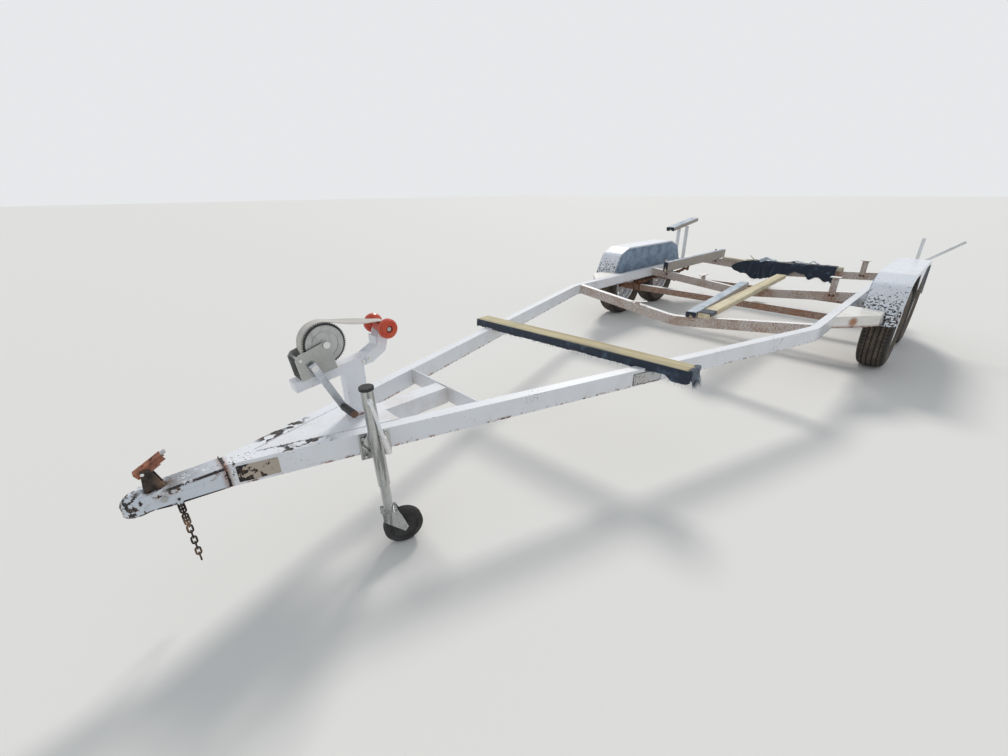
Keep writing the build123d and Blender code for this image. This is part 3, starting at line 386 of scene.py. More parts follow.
def webbing(name):
    f = Finish(name, Roughness=0.8, Sheen_Weight=0.2, Sheen_Roughness=0.4)

    def threads(scale, distortion, direction):
        inputs = {"Vector": f.place, "Scale": scale, "Distortion": distortion, "Detail": 1.0}
        return f.node("TexWave", inputs, wave_type="BANDS", bands_direction=direction).outputs[1]

    weave = f.times(threads(95.0, 0.4, "X"), threads(150.0, 0.6, "Y"))
    tint = f.mix(weave, (0.50, 0.47, 0.43), (0.86, 0.84, 0.80))
    seam = f.band(f.size(f.less(f.size(f.axis("X")), STRAP_SEAM)), 0.0012, 0.0004)
    tint = f.mix(f.times(seam, 0.75), tint, (0.16, 0.13, 0.12))
    f.set(Base_Color=f.mix(f.band(f.noise(19, 5, 0.65), 0.50, 0.78, 0, 0.35), tint, (0.42, 0.36, 0.30)))
    f.bump(weave, 0.0008, 0.8)


def moulded(name, colour, faded, rough, subsurface=0.0):
    """Moulded plastic, sun-faded and scuffed."""
    f = Finish(name, Subsurface_Weight=subsurface, Subsurface_Scale=0.01)
    fade = f.band(f.noise(12, 4, 0.6), 0.35, 0.75)
    scuff = f.times(f.band(f.noise(150, 4, 0.75), 0.60, 0.72), 0.4)
    f.set(Base_Color=f.mix(scuff, f.mix(fade, colour, faded), (0.30, 0.20, 0.16)),
          Roughness=f.band(fade, 0, 1, rough, rough + 0.22))
    f.bump(f.noise(40, 3), 0.0008, 0.25)


# Where wear and rust gather, each as a function of the finish
def near_place(letter, place, reach, share=1.0):
    """Share at a place along an axis, fading to 0 at its reach."""
    return lambda f: f.band(f.away(letter, place), reach, 0.0, 0.0, share)


def near_point(centre, reach, share=1.0):
    """Share round a point, fading to 0 at its reach."""
    return lambda f: f.band(f.vector("DISTANCE", f.place, centre), reach, 0.3 * reach, 0.0, share)


def patchy(amount, scale, low, high):
    """Another such function, broken up by noise."""
    return lambda f: f.times(amount(f), f.band(f.noise(scale, 4, 0.6), low, high))


def most(*amounts):
    """The greatest of several."""
    return lambda f: f.most(*(amount(f) for amount in amounts))


def tongue_wear(f):
    """Chips gather toward the front of the tongue."""
    return f.times(f.band(f.axis("Y"), 1.0, 0.25), f.band(f.noise(5.5, 3), 0.35, 0.60))


def tongue_flakes(f):
    """Paint lifts off in scales on the rails' tops, just behind the coupler."""
    along = f.times(f.band(f.axis("Y"), 0.33, 0.37), f.band(f.axis("Y"), 0.58, 0.50))
    return f.times(along, f.band(f.facing("Z"), 0.7, 0.9), f.band(f.noise(17, 2), 0.44, 0.52))


def fender_wear(f):
    """Stone chips gather low on the fenders' front slopes."""
    return f.times(f.band(f.axis("Z"), 0.27, -0.02), f.band(f.axis("Y"), 4.60, 4.20))


def nose_flakes(f):
    """Paint is knocked off the coupler's nose."""
    return f.times(f.band(f.axis("Y"), 0.020, -0.004), f.band(f.noise(31, 3), 0.47, 0.53))


# The coupler's upper side edge, and its lower lip, which slopes down behind its nose
COUPLER_EDGE_Z = 0.0265
COUPLER_LIP_Z = -0.0195
COUPLER_LIP_START = 0.029
COUPLER_LIP_SLOPE = 0.107


def coupler_scrapes(f):
    """Bare, ragged lines along the coupler's upper side edges and round its lower lip."""
    top = f.times(f.band(f.away("Z", COUPLER_EDGE_Z), 0.0075, 0.003), f.band(f.axis("Y"), 0.055, 0.080))
    slope = f.times(f.most(f.less(f.axis("Y"), COUPLER_LIP_START), 0.0), COUPLER_LIP_SLOPE)
    lip = f.band(f.plus(f.axis("Z"), slope, -COUPLER_LIP_Z), 0.0, -0.0015)
    return f.times(f.most(top, lip), f.band(f.noise(44, 4, 0.7), 0.38, 0.46))


# Middles of the stain on a step and of the rust round the latch's foot
STEP_STAIN = (1.062, 3.772, -0.005)
LATCH_FOOT = (0.0, 0.052, 0.031)


def make_finishes():
    low_edge = patchy(near_place("Z", RAIL_BOTTOM, 0.016, 0.9), 38, 0.50, 0.62)
    step_patch = patchy(near_point(STEP_STAIN, 0.044, 0.95), 50, 0.28, 0.40)
    joint = patchy(near_place("Y", TONGUE_FRONT, 0.020, 0.68), 40, 0.34, 0.50)
    latch_foot = patchy(near_point(LATCH_FOOT, 0.062), 40, 0.40, 0.55)
    spots = patchy(near_place("Z", 0.016, 0.022, 0.85), 62, 0.53, 0.62)
    painted("rail_paint", gather=tongue_wear, chips=0.6, grime=0.18, rims=0.25, flaked=tongue_flakes,
            rust=most(near_place("Y", TONGUE_FRONT, 0.02), low_edge))
    painted("tongue_paint", chips=0.45, grime=0.45)
    painted("step_paint", (0.80, 0.79, 0.76), 0.5, 0.4, rust=near_place("Z", -0.045, 0.022, 0.8),
            stained=step_patch)
    painted("coupler_paint", (0.64, 0.69, 0.76), 0.85, 0.10, speck=64, rims=0.35,
            gather=most(near_place("Y", -0.02, 0.07, 0.95), near_place("Z", 0.012, 0.026, 0.6)),
            rust=most(joint, latch_foot, spots), flaked=nose_flakes, scraped=coupler_scrapes)
    # The fenders' white paint is tinted blue: a painted reflection of the sky on paint in shade.
    painted("fender_paint_and_sky_tint", (0.76, 0.80, 0.87), 1.0, 0.16, speck=76, rims=0.12, spread=0.12,
            gather=fender_wear)
    painted("stand_paint", (0.80, 0.82, 0.87), 0.35, 0.12, rust=near_place("Z", RAIL_TOP, 0.026))
    painted("wheel_paint", chips=0.8, grime=0.75)
    painted("rod_paint", (0.84, 0.85, 0.86), 0.3, 0.12)
    painted("bead_paint", chips=0.9, grime=0.5,
            rust=most(near_place("Z", -0.03, 0.03, 0.5), near_place("Y", TONGUE_FRONT, 0.03)))
    painted("bare_plate", (0.44, 0.38, 0.31), 1.25, 0.5, speck=48, rims=0.1,
            gather=near_place("Y", -0.055, 0.045))
    painted("pale_plate", (0.60, 0.61, 0.63), 0.8, 0.4)
    painted("dark_plate", (0.05, 0.05, 0.055), 0.5, 0.4)
    # Both member finishes paint light on the tops and shade on the upright faces, over rust and dust.
    member_paint("member_paint")
    member_paint("axle_paint", (0.16, 0.075, 0.04), (0.33, 0.19, 0.12), 0.25, 0.72)
    rusty("dark_steel", (0.085, 0.060, 0.050), (0.020, 0.018, 0.018))
    rusty("rusted_steel")
    rusty("chain_rust", (0.075, 0.050, 0.040), (0.018, 0.015, 0.014))
    rusty("latch_rust", (0.42, 0.17, 0.10), (0.17, 0.065, 0.045))
    # The jack's dark streaks are a painted reflection.
    plated("galvanised", (0.56, 0.57, 0.56), 0.30, reflection_streaks=0.62)
    plated("bright_zinc", (0.78, 0.78, 0.78), 0.28, 0.1, 0.1)
    plated("crank_zinc", (0.60, 0.64, 0.70), 0.30, 0.1)
    # Its edges are whitened strongly: partly rubbed zinc, partly painted highlight.
    plated("winch_zinc", (0.46, 0.47, 0.46), 0.42, 0.15, 0.2, edge=0.9)
    gear_steel("gear_zinc")
    tyre_rubber("tyre_rubber")
    rubber("caster_rubber", 0.16, (0.22, 0.22, 0.22))
    moulded("trigger", (0.50, 0.27, 0.22), (0.60, 0.42, 0.36), 0.5)
    moulded("black_plastic", (0.012, 0.012, 0.013), (0.03, 0.03, 0.032), 0.45)
    moulded("grip_end", (0.14, 0.075, 0.045), (0.20, 0.13, 0.09), 0.6)
    moulded("grey_plastic", (0.50, 0.50, 0.49), (0.62, 0.61, 0.58), 0.5)
    moulded("roller_red", (0.50, 0.030, 0.010), (0.62, 0.10, 0.035), 0.25, 0.2)
    moulded("post_sleeve", (0.74, 0.76, 0.78), (0.66, 0.66, 0.64), 0.35)
    webbing("strap_webbing")
    # The pale carpet's last colour is painted shade for the boards' ends.
    carpet("pale_carpet", (0.30, 0.40, 0.52), (0.72, 0.78, 0.84), 0.95, (0.42, 0.33, 0.24),
           (0.018, 0.024, 0.04))
    carpet("pale_scrap", (0.26, 0.37, 0.50), (0.66, 0.73, 0.80), 0.8)
    carpet("blue_carpet", (0.13, 0.21, 0.32), (0.34, 0.45, 0.58), 0.8)
    carpet("navy_carpet", (0.016, 0.028, 0.052), (0.10, 0.16, 0.24), 0.25)
    carpet("frayed_carpet", (0.025, 0.048, 0.085), (0.34, 0.48, 0.62), 0.5)
    timber("front_timber", (0.56, 0.50, 0.32), (0.40, 0.33, 0.20), 0.2)
    timber("bunk_timber", (0.70, 0.63, 0.46), (0.52, 0.43, 0.27))
    timber("broken_timber", (0.62, 0.57, 0.47), (0.42, 0.36, 0.28))
    Finish("floor", Roughness=0.9, Base_Color=FLOOR_COLOUR)


NODE_FINISHES = {
    "rail_paint": ("rail_left", "rail_right"),
    "tongue_paint": ("tongue_plate", "tongue_tube", "tongue_cross_plate"),
    "step_paint": ("fender_steps_left", "fender_steps_right"),
    "coupler_paint": ("coupler",),
    "fender_paint_and_sky_tint": ("fender_left", "fender_right"),
    "stand_paint": ("winch_stand", "roller_bracket"),
    "member_paint": ("crossmember_front", "crossmember_middle", "crossmember_rear", "bunk_brackets"),
    "axle_paint": ("axles",),
    "rusted_steel": ("leaf_springs", "spring_hangers", "equalisers"),
    "chain_rust": ("safety_chain",),
    "latch_rust": ("latch_lever",),
    "galvanised": ("jack_bracket", "jack_tube", "jack_leg", "caster_fork"),
    "winch_zinc": ("winch_frame",),
    "gear_zinc": ("winch_drum",),
    "crank_zinc": ("winch_crank",),
    "caster_rubber": ("caster_wheel",),
    "roller_red": ("bow_roller",),
    "post_sleeve": ("guide_posts_left", "guide_posts_right"),
    "wheel_paint": ("wheel_left_front", "wheel_left_rear", "wheel_right_front", "wheel_right_rear"),
}


def dress(obj, *names):
    if obj.data.materials:
        obj.data.materials.clear()
    for name in names:
        obj.data.materials.append(finishes[name])


def dress_nodes():
    for finish, names in NODE_FINISHES.items():
        for name in names:
            dress(nodes[name], finish)


def dress_where(name, finish, place, test):
    """Gives another finish to a node's faces whose middle, in a place's own axes, passes the test."""
    mesh = nodes[name].data
    mesh.materials.append(finishes[finish])
    inverse = place.inverted()
    for face in mesh.polygons:
        if test(inverse @ face.center):
            face.material_index = len(mesh.materials) - 1


# Building meshes
def circle(sides, turn=0.0):
    angles = [turn + math.tau * k / sides for k in range(sides)]
    return [(math.cos(angle), math.sin(angle)) for angle in angles]


def grid(along, across, point):
    """Rows of a sheet's points; point is a function of the shares of the way along and across."""
    return [[Vector(point(i / along, j / across)) for j in range(across + 1)] for i in range(along + 1)]


def add_skin(bm, rings, path_closed=False, index=0):
    """Faces between rings of as many points each, with a cap on each open end."""
    rows = [[bm.verts.new(point) for point in ring] for ring in rings]
    count = len(rings[0])
    for a, b in zip(rows, rows[1:] + rows[:path_closed]):
        for i in range(count):
            j = (i + 1) % count
            bm.faces.new((a[i], a[j], b[j], b[i])).material_index = index
    if not path_closed:
        bm.faces.new(rows[0][::-1]).material_index = index
        bm.faces.new(rows[-1]).material_index = index


def add_sheet(bm, rows, thickness):
    """Closed sheet about rows of points, half its thickness to each side."""
    high, low = [], []
    last_row = len(rows) - 1
    width = len(rows[0])
    for i, row in enumerate(rows):
        for j, point in enumerate(row):
            along = rows[min(i + 1, last_row)][j] - rows[max(i - 1, 0)][j]
            across = row[min(j + 1, width - 1)] - row[max(j - 1, 0)]
            normal = along.cross(across)
            if normal.length < 1e-12:
                normal = Vector((0, 0, 1))
            normal.normalize()
            high.append(bm.verts.new(point + normal * thickness / 2))
            low.append(bm.verts.new(point - normal * thickness / 2))
    for i in range(last_row):
        for a in range(i * width, (i + 1) * width - 1):
            corners = (a, a + 1, a + width + 1, a + width)
            bm.faces.new([high[k] for k in corners])
            bm.faces.new([low[k] for k in reversed(corners)])
    total = len(high)
    rim = [*range(width), *range(2 * width - 1, total, width)]
    rim += [*range(total - 2, total - width - 1, -1), *range(total - 2 * width, 0, -width)]
    for a, b in zip(rim, rim[1:] + rim[:1]):
        bm.faces.new((high[b], high[a], low[a], low[b]))


def add_rod(bm, points, radius, sides=8):
    """Round rod along a chain of points; radius may be a function of the share of the way along."""
    rings = []
    last = len(points) - 1
    side = (points[1] - points[0]).normalized().orthogonal().normalized()
    for i, point in enumerate(points):
        run = (points[min(i + 1, last)] - points[max(i - 1, 0)]).normalized()
        side = (side - run * side.dot(run)).normalized()
        other = run.cross(side)
        r = radius(i / last) if callable(radius) else radius
        rings.append([point + (side * c + other * s) * r for c, s in circle(sides)])
    add_skin(bm, rings)


def add_threads(bm, points, away, count, length, seed):
    """Loose fibres that stick out of a torn edge and droop."""
    rng = random.Random(seed)
    for _ in range(count):
        i = rng.randrange(len(points) - 1)
        root = points[i].lerp(points[i + 1], rng.random())
        lean = Vector([rng.uniform(-0.6, 0.6) for _ in range(3)])
        reach = length * rng.uniform(0.35, 1.0)
        line = []
        for s in (0, 0.25, 0.5, 0.75, 1):
            line.append(root + (Vector(away) + lean * s) * reach * s + Vector((0, 0, -reach * 0.5 * s * s)))
        add_rod(bm, line, lambda t: 0.0006 * (1 - 0.6 * t), 4)


def add_piece(name, bm, slot, *finish_names, body="chassis", sharp=40, place=None, stands_for=None):
    """A bmesh as an object in the scene: dressed, shaded, riding on its body, standing for a CAD node."""
    bmesh.ops.recalc_face_normals(bm, faces=bm.faces)
    mesh = bpy.data.meshes.new(name)
    bm.to_mesh(mesh)
    bm.free()
    for face in mesh.polygons:
        face.use_smooth = True
    mesh.set_sharp_from_angle(angle=math.radians(sharp))
    piece = add_object(name, mesh)
    dress(piece, *finish_names)
    if place:
        piece.matrix_world = place
    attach(piece, body)
    if stands_for:
        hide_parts(stands_for)
    return piece


def add_cloth(name, rows, thickness, slot, finish, flat, held, rests_on, threads=(), area=None, sharp=60,
              **settings):
    """A sheet of cloth from rows of points, with the loose threads of its torn edges."""
    bm = bmesh.new()
    add_sheet(bm, rows, thickness)
    for edge in threads:
        add_threads(bm, *edge)
    cloth = add_piece(name, bm, slot, finish, sharp=sharp, **settings)


def ripple(point, scale, seed=0.0):
    """Smooth noise from -1 to 1 at a place."""
    return noise.noise(Vector(point) * scale + Vector((seed * 7.3, seed * 3.1, seed)))


def standing_on(point, normal):
    """Place whose +Z points out of a surface."""
    return Matrix.Translation(point) @ Vector(normal).to_track_quat("Z", "Y").to_matrix().to_4x4()


def outer_x(y):
    """Outer side of the left rail at a place along the tongue."""
    middle = RAIL_OUTER - RAIL_WIDTH / 2 - (BEND_Y - y) * math.tan(TONGUE_ANGLE)
    return middle + RAIL_WIDTH / 2 / math.cos(TONGUE_ANGLE)


# Tyres, about +X as the axle
TYRE_HALF = 0.0925
RIM_RADIUS = 0.165
GROOVES = (0.046, 0.016)
GROOVE_HALF = 0.0042
GROOVE_DEPTH = 0.0065
SHOULDER_START = 0.056
SLOT_DEPTH = 0.0055
ZIGZAG = 0.0028
TREAD_PITCHES = 66
# Share of a pitch, zigzag of the grooves, depth of the shoulder slots
TREAD_STATIONS = ((0.0, 1.0, 0.0), (0.52, -1.0, 0.0), (0.62, -1.0, 1.0), (0.88, 1.0, 1.0))
# How far in from the half width and how far out from the rim, from the bead to the widest place
LOWER_SIDE = ((0.027, 0.0005), (0.024, 0.012), (0.017, 0.020), (0.0125, 0.028), (0.0135, 0.031),
              (0.006, 0.046), (0.0015, 0.066), (0.0, 0.086))
# How far in from the half width and the tyre's radius, and the share of a slot's depth, from there on up
UPPER_SIDE = ((0.0012, 0.052, 0.0), (0.0002, 0.050, 0.0), (0.0022, 0.044, 0.0), (0.006, 0.032, 0.0),
              (0.010, 0.020, 0.7), (0.017, 0.010, 1.0), (0.026, 0.0045, 1.0))


# A valve's foot, from the wheel's middle and inside the rim, and its stem from there
VALVE_X = 0.034
VALVE_INSET = 0.036
VALVE_STEM = ((0, 0), (0.014, -0.004), (0.036, -0.010))


def tyre_profile():
    """Half section from the bead to the tread's middle, as (x, radius, share of slot, zigzag share)."""
    points = [(TYRE_HALF - inset, RIM_RADIUS + rise, 0.0, 0.0) for inset, rise in LOWER_SIDE]
    points += [(TYRE_HALF - inset, TYRE_RADIUS - drop, slot, 0.0) for inset, drop, slot in UPPER_SIDE]
    points += [(SHOULDER_START + 0.002, TYRE_RADIUS - 0.002, 1.0, 0.2),
               (SHOULDER_START, TYRE_RADIUS - 0.002, 0.0, 0.3)]
    for groove in GROOVES:
        crown = TYRE_RADIUS - 0.0015 * (groove / SHOULDER_START) ** 2
        for shift, drop in ((1.25, 0), (0.8, 1), (-0.8, 1), (-1.25, 0)):
            points.append((groove + shift * GROOVE_HALF, crown - drop * GROOVE_DEPTH, 0.0, 1.0))
    return points


def make_tyres():
    half = tyre_profile()
    profile = half + [(-x, r, slot, zig) for x, r, slot, zig in reversed(half)]
    rings = []
    for pitch in range(TREAD_PITCHES):
        for share, zigzag, slot_depth in TREAD_STATIONS:
            angle = math.tau * (pitch + share) / TREAD_PITCHES
            ring = []
            for x, r, slot, zig in profile:
                r -= SLOT_DEPTH * slot * slot_depth
                ring.append((x + ZIGZAG * zigzag * zig, r * math.cos(angle), r * math.sin(angle)))
            rings.append(ring)
    for side, sign in SIDES:
        for name in (side + "_front", side + "_rear"):
            low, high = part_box("tyre_" + name)
            place = Matrix.Translation((low + high) / 2)
            bm = bmesh.new()
            add_skin(bm, rings, path_closed=True)
            add_piece("tread_" + name, bm, "tyre_rubber", "tyre_rubber", body="wheel_" + name, sharp=38,
                      place=place, stands_for="tyre_" + name)
            bm = bmesh.new()
            foot = Vector((sign * VALVE_X, 0, RIM_RADIUS - VALVE_INSET))
            line = [foot + Vector((sign * x, 0, z)) for x, z in VALVE_STEM]
            add_rod(bm, line, lambda t: 0.0062 - 0.0024 * t, 10)
            add_piece("valve_" + name, bm, "tyre_rubber", "black_plastic", body="wheel_" + name, place=place)


# Boards and carpets
def board_frame(name):
    """Place of a plain board among the nodes, with x along it and z up, and its length, width and height."""
    mesh = nodes[name].data
    axes = []
    for face in mesh.polygons:
        if all(abs(face.normal.dot(axis)) < 0.5 for axis in axes):
            axes.append(face.normal.copy())

    def extent(axis):
        shares = [vertex.co.dot(axis) for vertex in mesh.vertices]
        return min(shares), max(shares)

    along = max(axes, key=lambda axis: extent(axis)[1] - extent(axis)[0])
    up = max((axis for axis in axes if axis is not along), key=lambda axis: abs(axis.z))
    up = up if up.z > 0 else -up
    along = along if along.x + along.y > 0 else -along
    axes = (along, up.cross(along), up)
    spans = [extent(axis) for axis in axes]
    middle = sum(((low + high) / 2 * axis for (low, high), axis in zip(spans, axes)), Vector())
    return turned(middle, *axes), [high - low for low, high in spans]


def section_path(width, height, radius, step=0.012):
    """Closed rounded rectangle as (y, z) points, from the middle of its underside."""
    points = [(0.0, -height / 2)]
    for y_sign, z_sign, start in ((1, -1, -90), (1, 1, 0), (-1, 1, 90), (-1, -1, 180)):
        for k in range(4):
            angle = math.radians(start + 30 * k)
            corner = (y_sign * (width / 2 - radius) + radius * math.cos(angle),
                      z_sign * (height / 2 - radius) + radius * math.sin(angle))
            last = points[-1]
            parts = max(1, int(math.dist(last, corner) / step))
            for i in range(1, parts + 1):
                points.append(tuple(a + (b - a) * i / parts for a, b in zip(last, corner)))
    y, z = points[-1]
    parts = max(1, int(abs(y) / step))
    return points + [(y * (1 - i / parts), z) for i in range(1, parts)]


BOARD_CORNER = 0.0035
BOARD_STEP = 0.022


def make_plank(name, size, seed, finish, place, stands_for=None, warp=0.002, ragged=0.0015):
    """Sawn board about its middle: worn corners, raised grain and ragged ends."""
    length, width, height = size
    path = section_path(width, height, BOARD_CORNER)
    stations = max(10, int(length / BOARD_STEP))
    rings = []
    for i in range(stations + 1):
        t = i / stations - 0.5
        end = max(0.0, abs(t) * 2 - 0.97) / 0.03
        bow = warp * math.cos(math.pi * t) + 0.4 * warp * ripple((t * length, 0, 0), 3, seed)
        ring = []
        for y, z in path:
            grain = ripple((t * length * 0.08, y, z), 55, seed)
            depth = 1 - 0.0008 / height - 0.05 * max(0.0, grain) ** 2
            x = t * length + math.copysign(1, t) * end * ragged * ripple((y, z, t), 60, seed)
            ring.append((x, y * depth, z * depth + bow))
        rings.append(ring)
    bm = bmesh.new()
    add_skin(bm, rings)
    add_piece(name, bm, "bare_wood", finish, place=place, stands_for=stands_for)


THIN_CARPET = 0.0045
THICK_CARPET = 0.005
# What the carpet takes off its board, all round and in length
WRAP_ROOM = 0.0144
WRAP_END = 0.012


def make_wrapped(name, seed):
    """A board in its carpet, pulled round it and stapled under it, its ends folded over the board's."""
    place, (length, width, height) = board_frame(name)
    size = (length - WRAP_END, width - WRAP_ROOM, height - WRAP_ROOM)
    make_plank(name + "_wood", size, seed, "bunk_timber", place)
    path = section_path(width - THIN_CARPET, height - THIN_CARPET, 0.008)
    gap = int(len(path) * 0.06)
    run = length - 0.010
    stations = max(12, int(run / 0.018))
    rows = []
    for i in range(-2, stations + 3):
        beyond = max(-i, i - stations, 0)
        x = (min(max(i / stations, 0), 1) - 0.5) * run + math.copysign(THIN_CARPET / 2, i - 1) * (beyond > 0)
        row = []
        for y, z in path[gap:len(path) - gap]:
            puff = 1 + 0.018 * ripple((x, y, z), 24, seed) + 0.010 * ripple((x, y, z), 75, seed)
            puff *= 1 - 0.45 * beyond
            row.append(Vector((x, y * puff, z * puff)))
        rows.append(row)
    add_cloth(name + "_wrap", rows, THIN_CARPET, "carpet_blue", "pale_carpet",
              (2 * (width + height) * 0.86, length + 0.03), "stretched", [name + "_wood"], place=place,
              stands_for=name)


CUFF_LENGTH = 0.115


def make_bunks():
    make_wrapped("side_bunk_right", 3.0)
    make_wrapped("center_bunk_carpeted", 5.0)
    make_wrapped("guide_board_right", 7.0)
    place, (length, width, height) = board_frame("center_bunk_bare")
    make_plank("center_bunk_timber", (length, width, height), 11.0, "bunk_timber", place, "center_bunk_bare",
               warp=0.003)
    reach = width + 1.1 * height

    def cuff(t, u):
        x = -length / 2 - 0.002 + CUFF_LENGTH * t
        s = (u - 0.5) * reach
        over = max(0.0, abs(s) - width / 2)
        y = math.copysign(min(abs(s), width / 2) + 0.004 * (over > 0), s)
        z = height / 2 + 0.003 - over
        return x + 0.004 * ripple((s, x, 1), 60), y, z + 0.0012 * ripple((x, s, 2), 90)

    add_cloth("center_bunk_cuff", grid(8, 24, cuff), THIN_CARPET, "carpet_dark", "navy_carpet",
              (reach, CUFF_LENGTH), "stretched", ["center_bunk_timber"], place=place)


# The board across the tongue, with carpet along its front edge and round its near end
BOARD_WRAP = 0.118


def make_front_board():
    place, (length, width, height) = board_frame("front_board")
    make_plank("front_board_timber", (length, width, height), 17.0, "front_timber", place, "front_board",
               warp=0.0025, ragged=0.003)
    edge = -width / 2 - 0.0035

    def flap(t, s):
        x = (t - 0.5) * length
        near = max(0.0, (x - length / 2 + BOARD_WRAP) / BOARD_WRAP)
        last = max(0.0, (x - length / 2 + 0.026) / 0.026)
        drop = 0.006 + 0.024 * min(1.0, near * 4) - 0.016 * last * last
        drop += 0.006 * ripple((x, 0, 0), 9, 2) + 0.004 * ripple((x, 0, 0), 45, 4)
        z = height / 2 - 0.001 - (height + drop) * s
        loose = 0.007 * s * s * (0.5 + 0.5 * ripple((x, s, 0), 13, 5))
        return x, edge - loose - 0.001 * ripple((x, z, 3), 60), z

    rows = grid(110, 8, flap)
    hem = ([row[-1] for row in rows], (0, -0.35, -1), 150, 0.012, 5)
    add_cloth("front_board_flap", rows, THICK_CARPET, "carpet_dark", "navy_carpet", (length, height + 0.014),
              "hung", ["front_board_timber"], [hem], place=place, stands_for="front_board_carpet")

    def fold(t, s):
        x = length / 2 - BOARD_WRAP + (BOARD_WRAP - 0.002) * t
        y = -width / 2 + 0.002 + (width - 0.006) * s
        sag = 0.006 + 0.006 * math.sin(math.pi * s) * (0.4 + 0.6 * t) + 0.003 * ripple((x, y, 0), 26, 8)
        return x + 0.004 * ripple((y, t, 0), 55, 3) * (t in (0, 1)), y, -height / 2 - sag

    rows = grid(14, 18, fold)
    torn = (rows[-1], (1, 0, -0.3), 90, 0.022, 9), ([row[-1] for row in rows], (0, 1, -0.4), 50, 0.012, 11)
    add_cloth("front_board_fold", rows, THICK_CARPET, "carpet_dark", "frayed_carpet",
              (BOARD_WRAP, width - 0.006), "folded", ["front_board_timber"], torn, place=place)

    def cuff(t, s):
        y = -width / 2 - 0.005 + (width + 0.001) * t
        drop = 0.018 + 0.016 * ripple((y, 0, 0), 40, 3)
        lap = 0.014 + 0.008 * ripple((y, 1, 0), 50, 8)
        along = -lap + (lap + height + drop) * s
        over = max(0.0, along)
        away = 0.0035 + 0.22 * max(0.0, over - height) + 0.0025 * ripple((y, over, 1), 55, 6)
        return length / 2 + min(along, 0.0) + away, y, height / 2 + 0.0035 - over

    rows = grid(20, 16, cuff)
    add_cloth("front_board_cuff", rows, THIN_CARPET, "carpet_dark", "frayed_carpet", (width, height + 0.034),
              "folded", ["front_board_timber"], place=place)
    bm = bmesh.new()
    add_threads(bm, [row[-1] for row in rows], (0.5, 0, -1), 110, 0.022, 15)
    add_threads(bm, [row[0] for row in rows], (-1, 0, 0.4), 60, 0.010, 17)
    add_piece("front_board_fringe", bm, "carpet_dark", "frayed_carpet", place=place)


# Carpet glued inside the fenders
LINING_THICK = 0.0042
LINING_COLUMNS = 110


def upper_line(name, y):
    """Highest point of a flat panel's outline at a place along it."""
    mesh = nodes[name].data
    best = -1.0
    for edge in mesh.edges:
        a, b = (mesh.vertices[i].co for i in edge.vertices)
        if min(a.y, b.y) <= y <= max(a.y, b.y) and abs(a.y - b.y) > 1e-6:
            best = max(best, a.z + (b.z - a.z) * (y - a.y) / (b.y - a.y))
    return best


def make_fender_carpets():
    for side, sign in SIDES:
        name = "fender_carpet_" + side
        low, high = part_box(name)
        middle = (low.x + high.x) / 2
        step = (high.y - low.y - 0.006) / LINING_COLUMNS
        places = [low.y + 0.003 + step * i for i in range(LINING_COLUMNS + 1)]
        heights = [upper_line(name, y) - low.z for y in places]

        def lining(t, s):
            column = round(t * LINING_COLUMNS)
            y = places[column]
            z = low.z + heights[column] * s
            border = max(0.0, 1 - 4 * min(s, 1 - s, t * 6, (1 - t) * 6))
            lift = 0.0014 * ripple((y, z, sign), 9, 3) + 0.002 * border * ripple((y, z, sign), 26, 6)
            fray = 0.0025 * abs(ripple((y, s * 9, 1), 80, sign + 4)) * (s in (0, 1))
            return middle - sign * abs(lift), y, z - fray * (1 if s else -1)

        add_cloth("fender_lining_" + side, grid(LINING_COLUMNS, 12, lining), LINING_THICK, "carpet_blue",
                  "blue_carpet", (high.y - low.y, high.z - low.z), "stretched", ["fender_" + side],
                  area=sum(max(0.0, height) * step for height in heights), stands_for=name)


# Broken boards on the rear crossmember, which bends down toward its middle
REAR_MEMBER_Y = 5.935
REAR_DROP = 0.064
LONG_WIDTH = 0.089
LONG_HEIGHT = 0.038
# Ends across the frame, shift along it, width, height, seed and raggedness of each board
BROKEN_BOARDS = {
    "broken_board_long": (-0.370, 0.580, 0.0, LONG_WIDTH, LONG_HEIGHT, 23.0, 0.016),
    "broken_board_short": (-0.660, -0.385, -0.004, 0.070, 0.030, 29.0, 0.018),
}


def board_place(x0, x1, y, height):
    """Place and length of a board on the rear crossmember between two places across the frame."""
    ends = []
    for x in (x0, x1):
        top = RAIL_TOP - REAR_DROP * (1 - abs(x) / (RAIL_OUTER - RAIL_WIDTH))
        ends.append(Vector((x, y, top + height / 2 + 0.001)))
    a, b = ends
    along = (b - a).normalized()
    across = Vector((0, 0, 1)).cross(along).normalized()
    return turned((a + b) / 2, along, across, along.cross(across)), (b - a).length


def make_broken_boards():
    for name, (x0, x1, shift, width, height, seed, ragged) in BROKEN_BOARDS.items():
        place, length = board_place(x0, x1, REAR_MEMBER_Y + shift, height)
        make_plank(name, (length, width, height), seed, "broken_timber", place, "broken_boards",
                   ragged=ragged)


# Torn carpet over the longer board: where it starts, its length, how far it hangs before and behind, and
# its middle's height
HEAP_START = -0.330
HEAP_LENGTH = 0.860
HEAP_FRONT = 0.222
HEAP_REAR = 0.145
HEAP_TOP = LONG_HEIGHT / 2 + 0.0045
# Waves of its folds before the board, behind it and at its far end: depth, share of the way down that
# counts, layer of the noise, scale and seed
FRONT_FOLDS = ((0.034, 0.2, 0, 15, 3), (0.014, 1, 0, 13, 7))
REAR_FOLDS = ((0.028, 0.2, 2, 14, 5), (0.010, 1, 4, 12, 9))
END_FOLDS = ((0.016, 0.2, 0, 17, 3), (0.006, 1, 0, 15, 7))
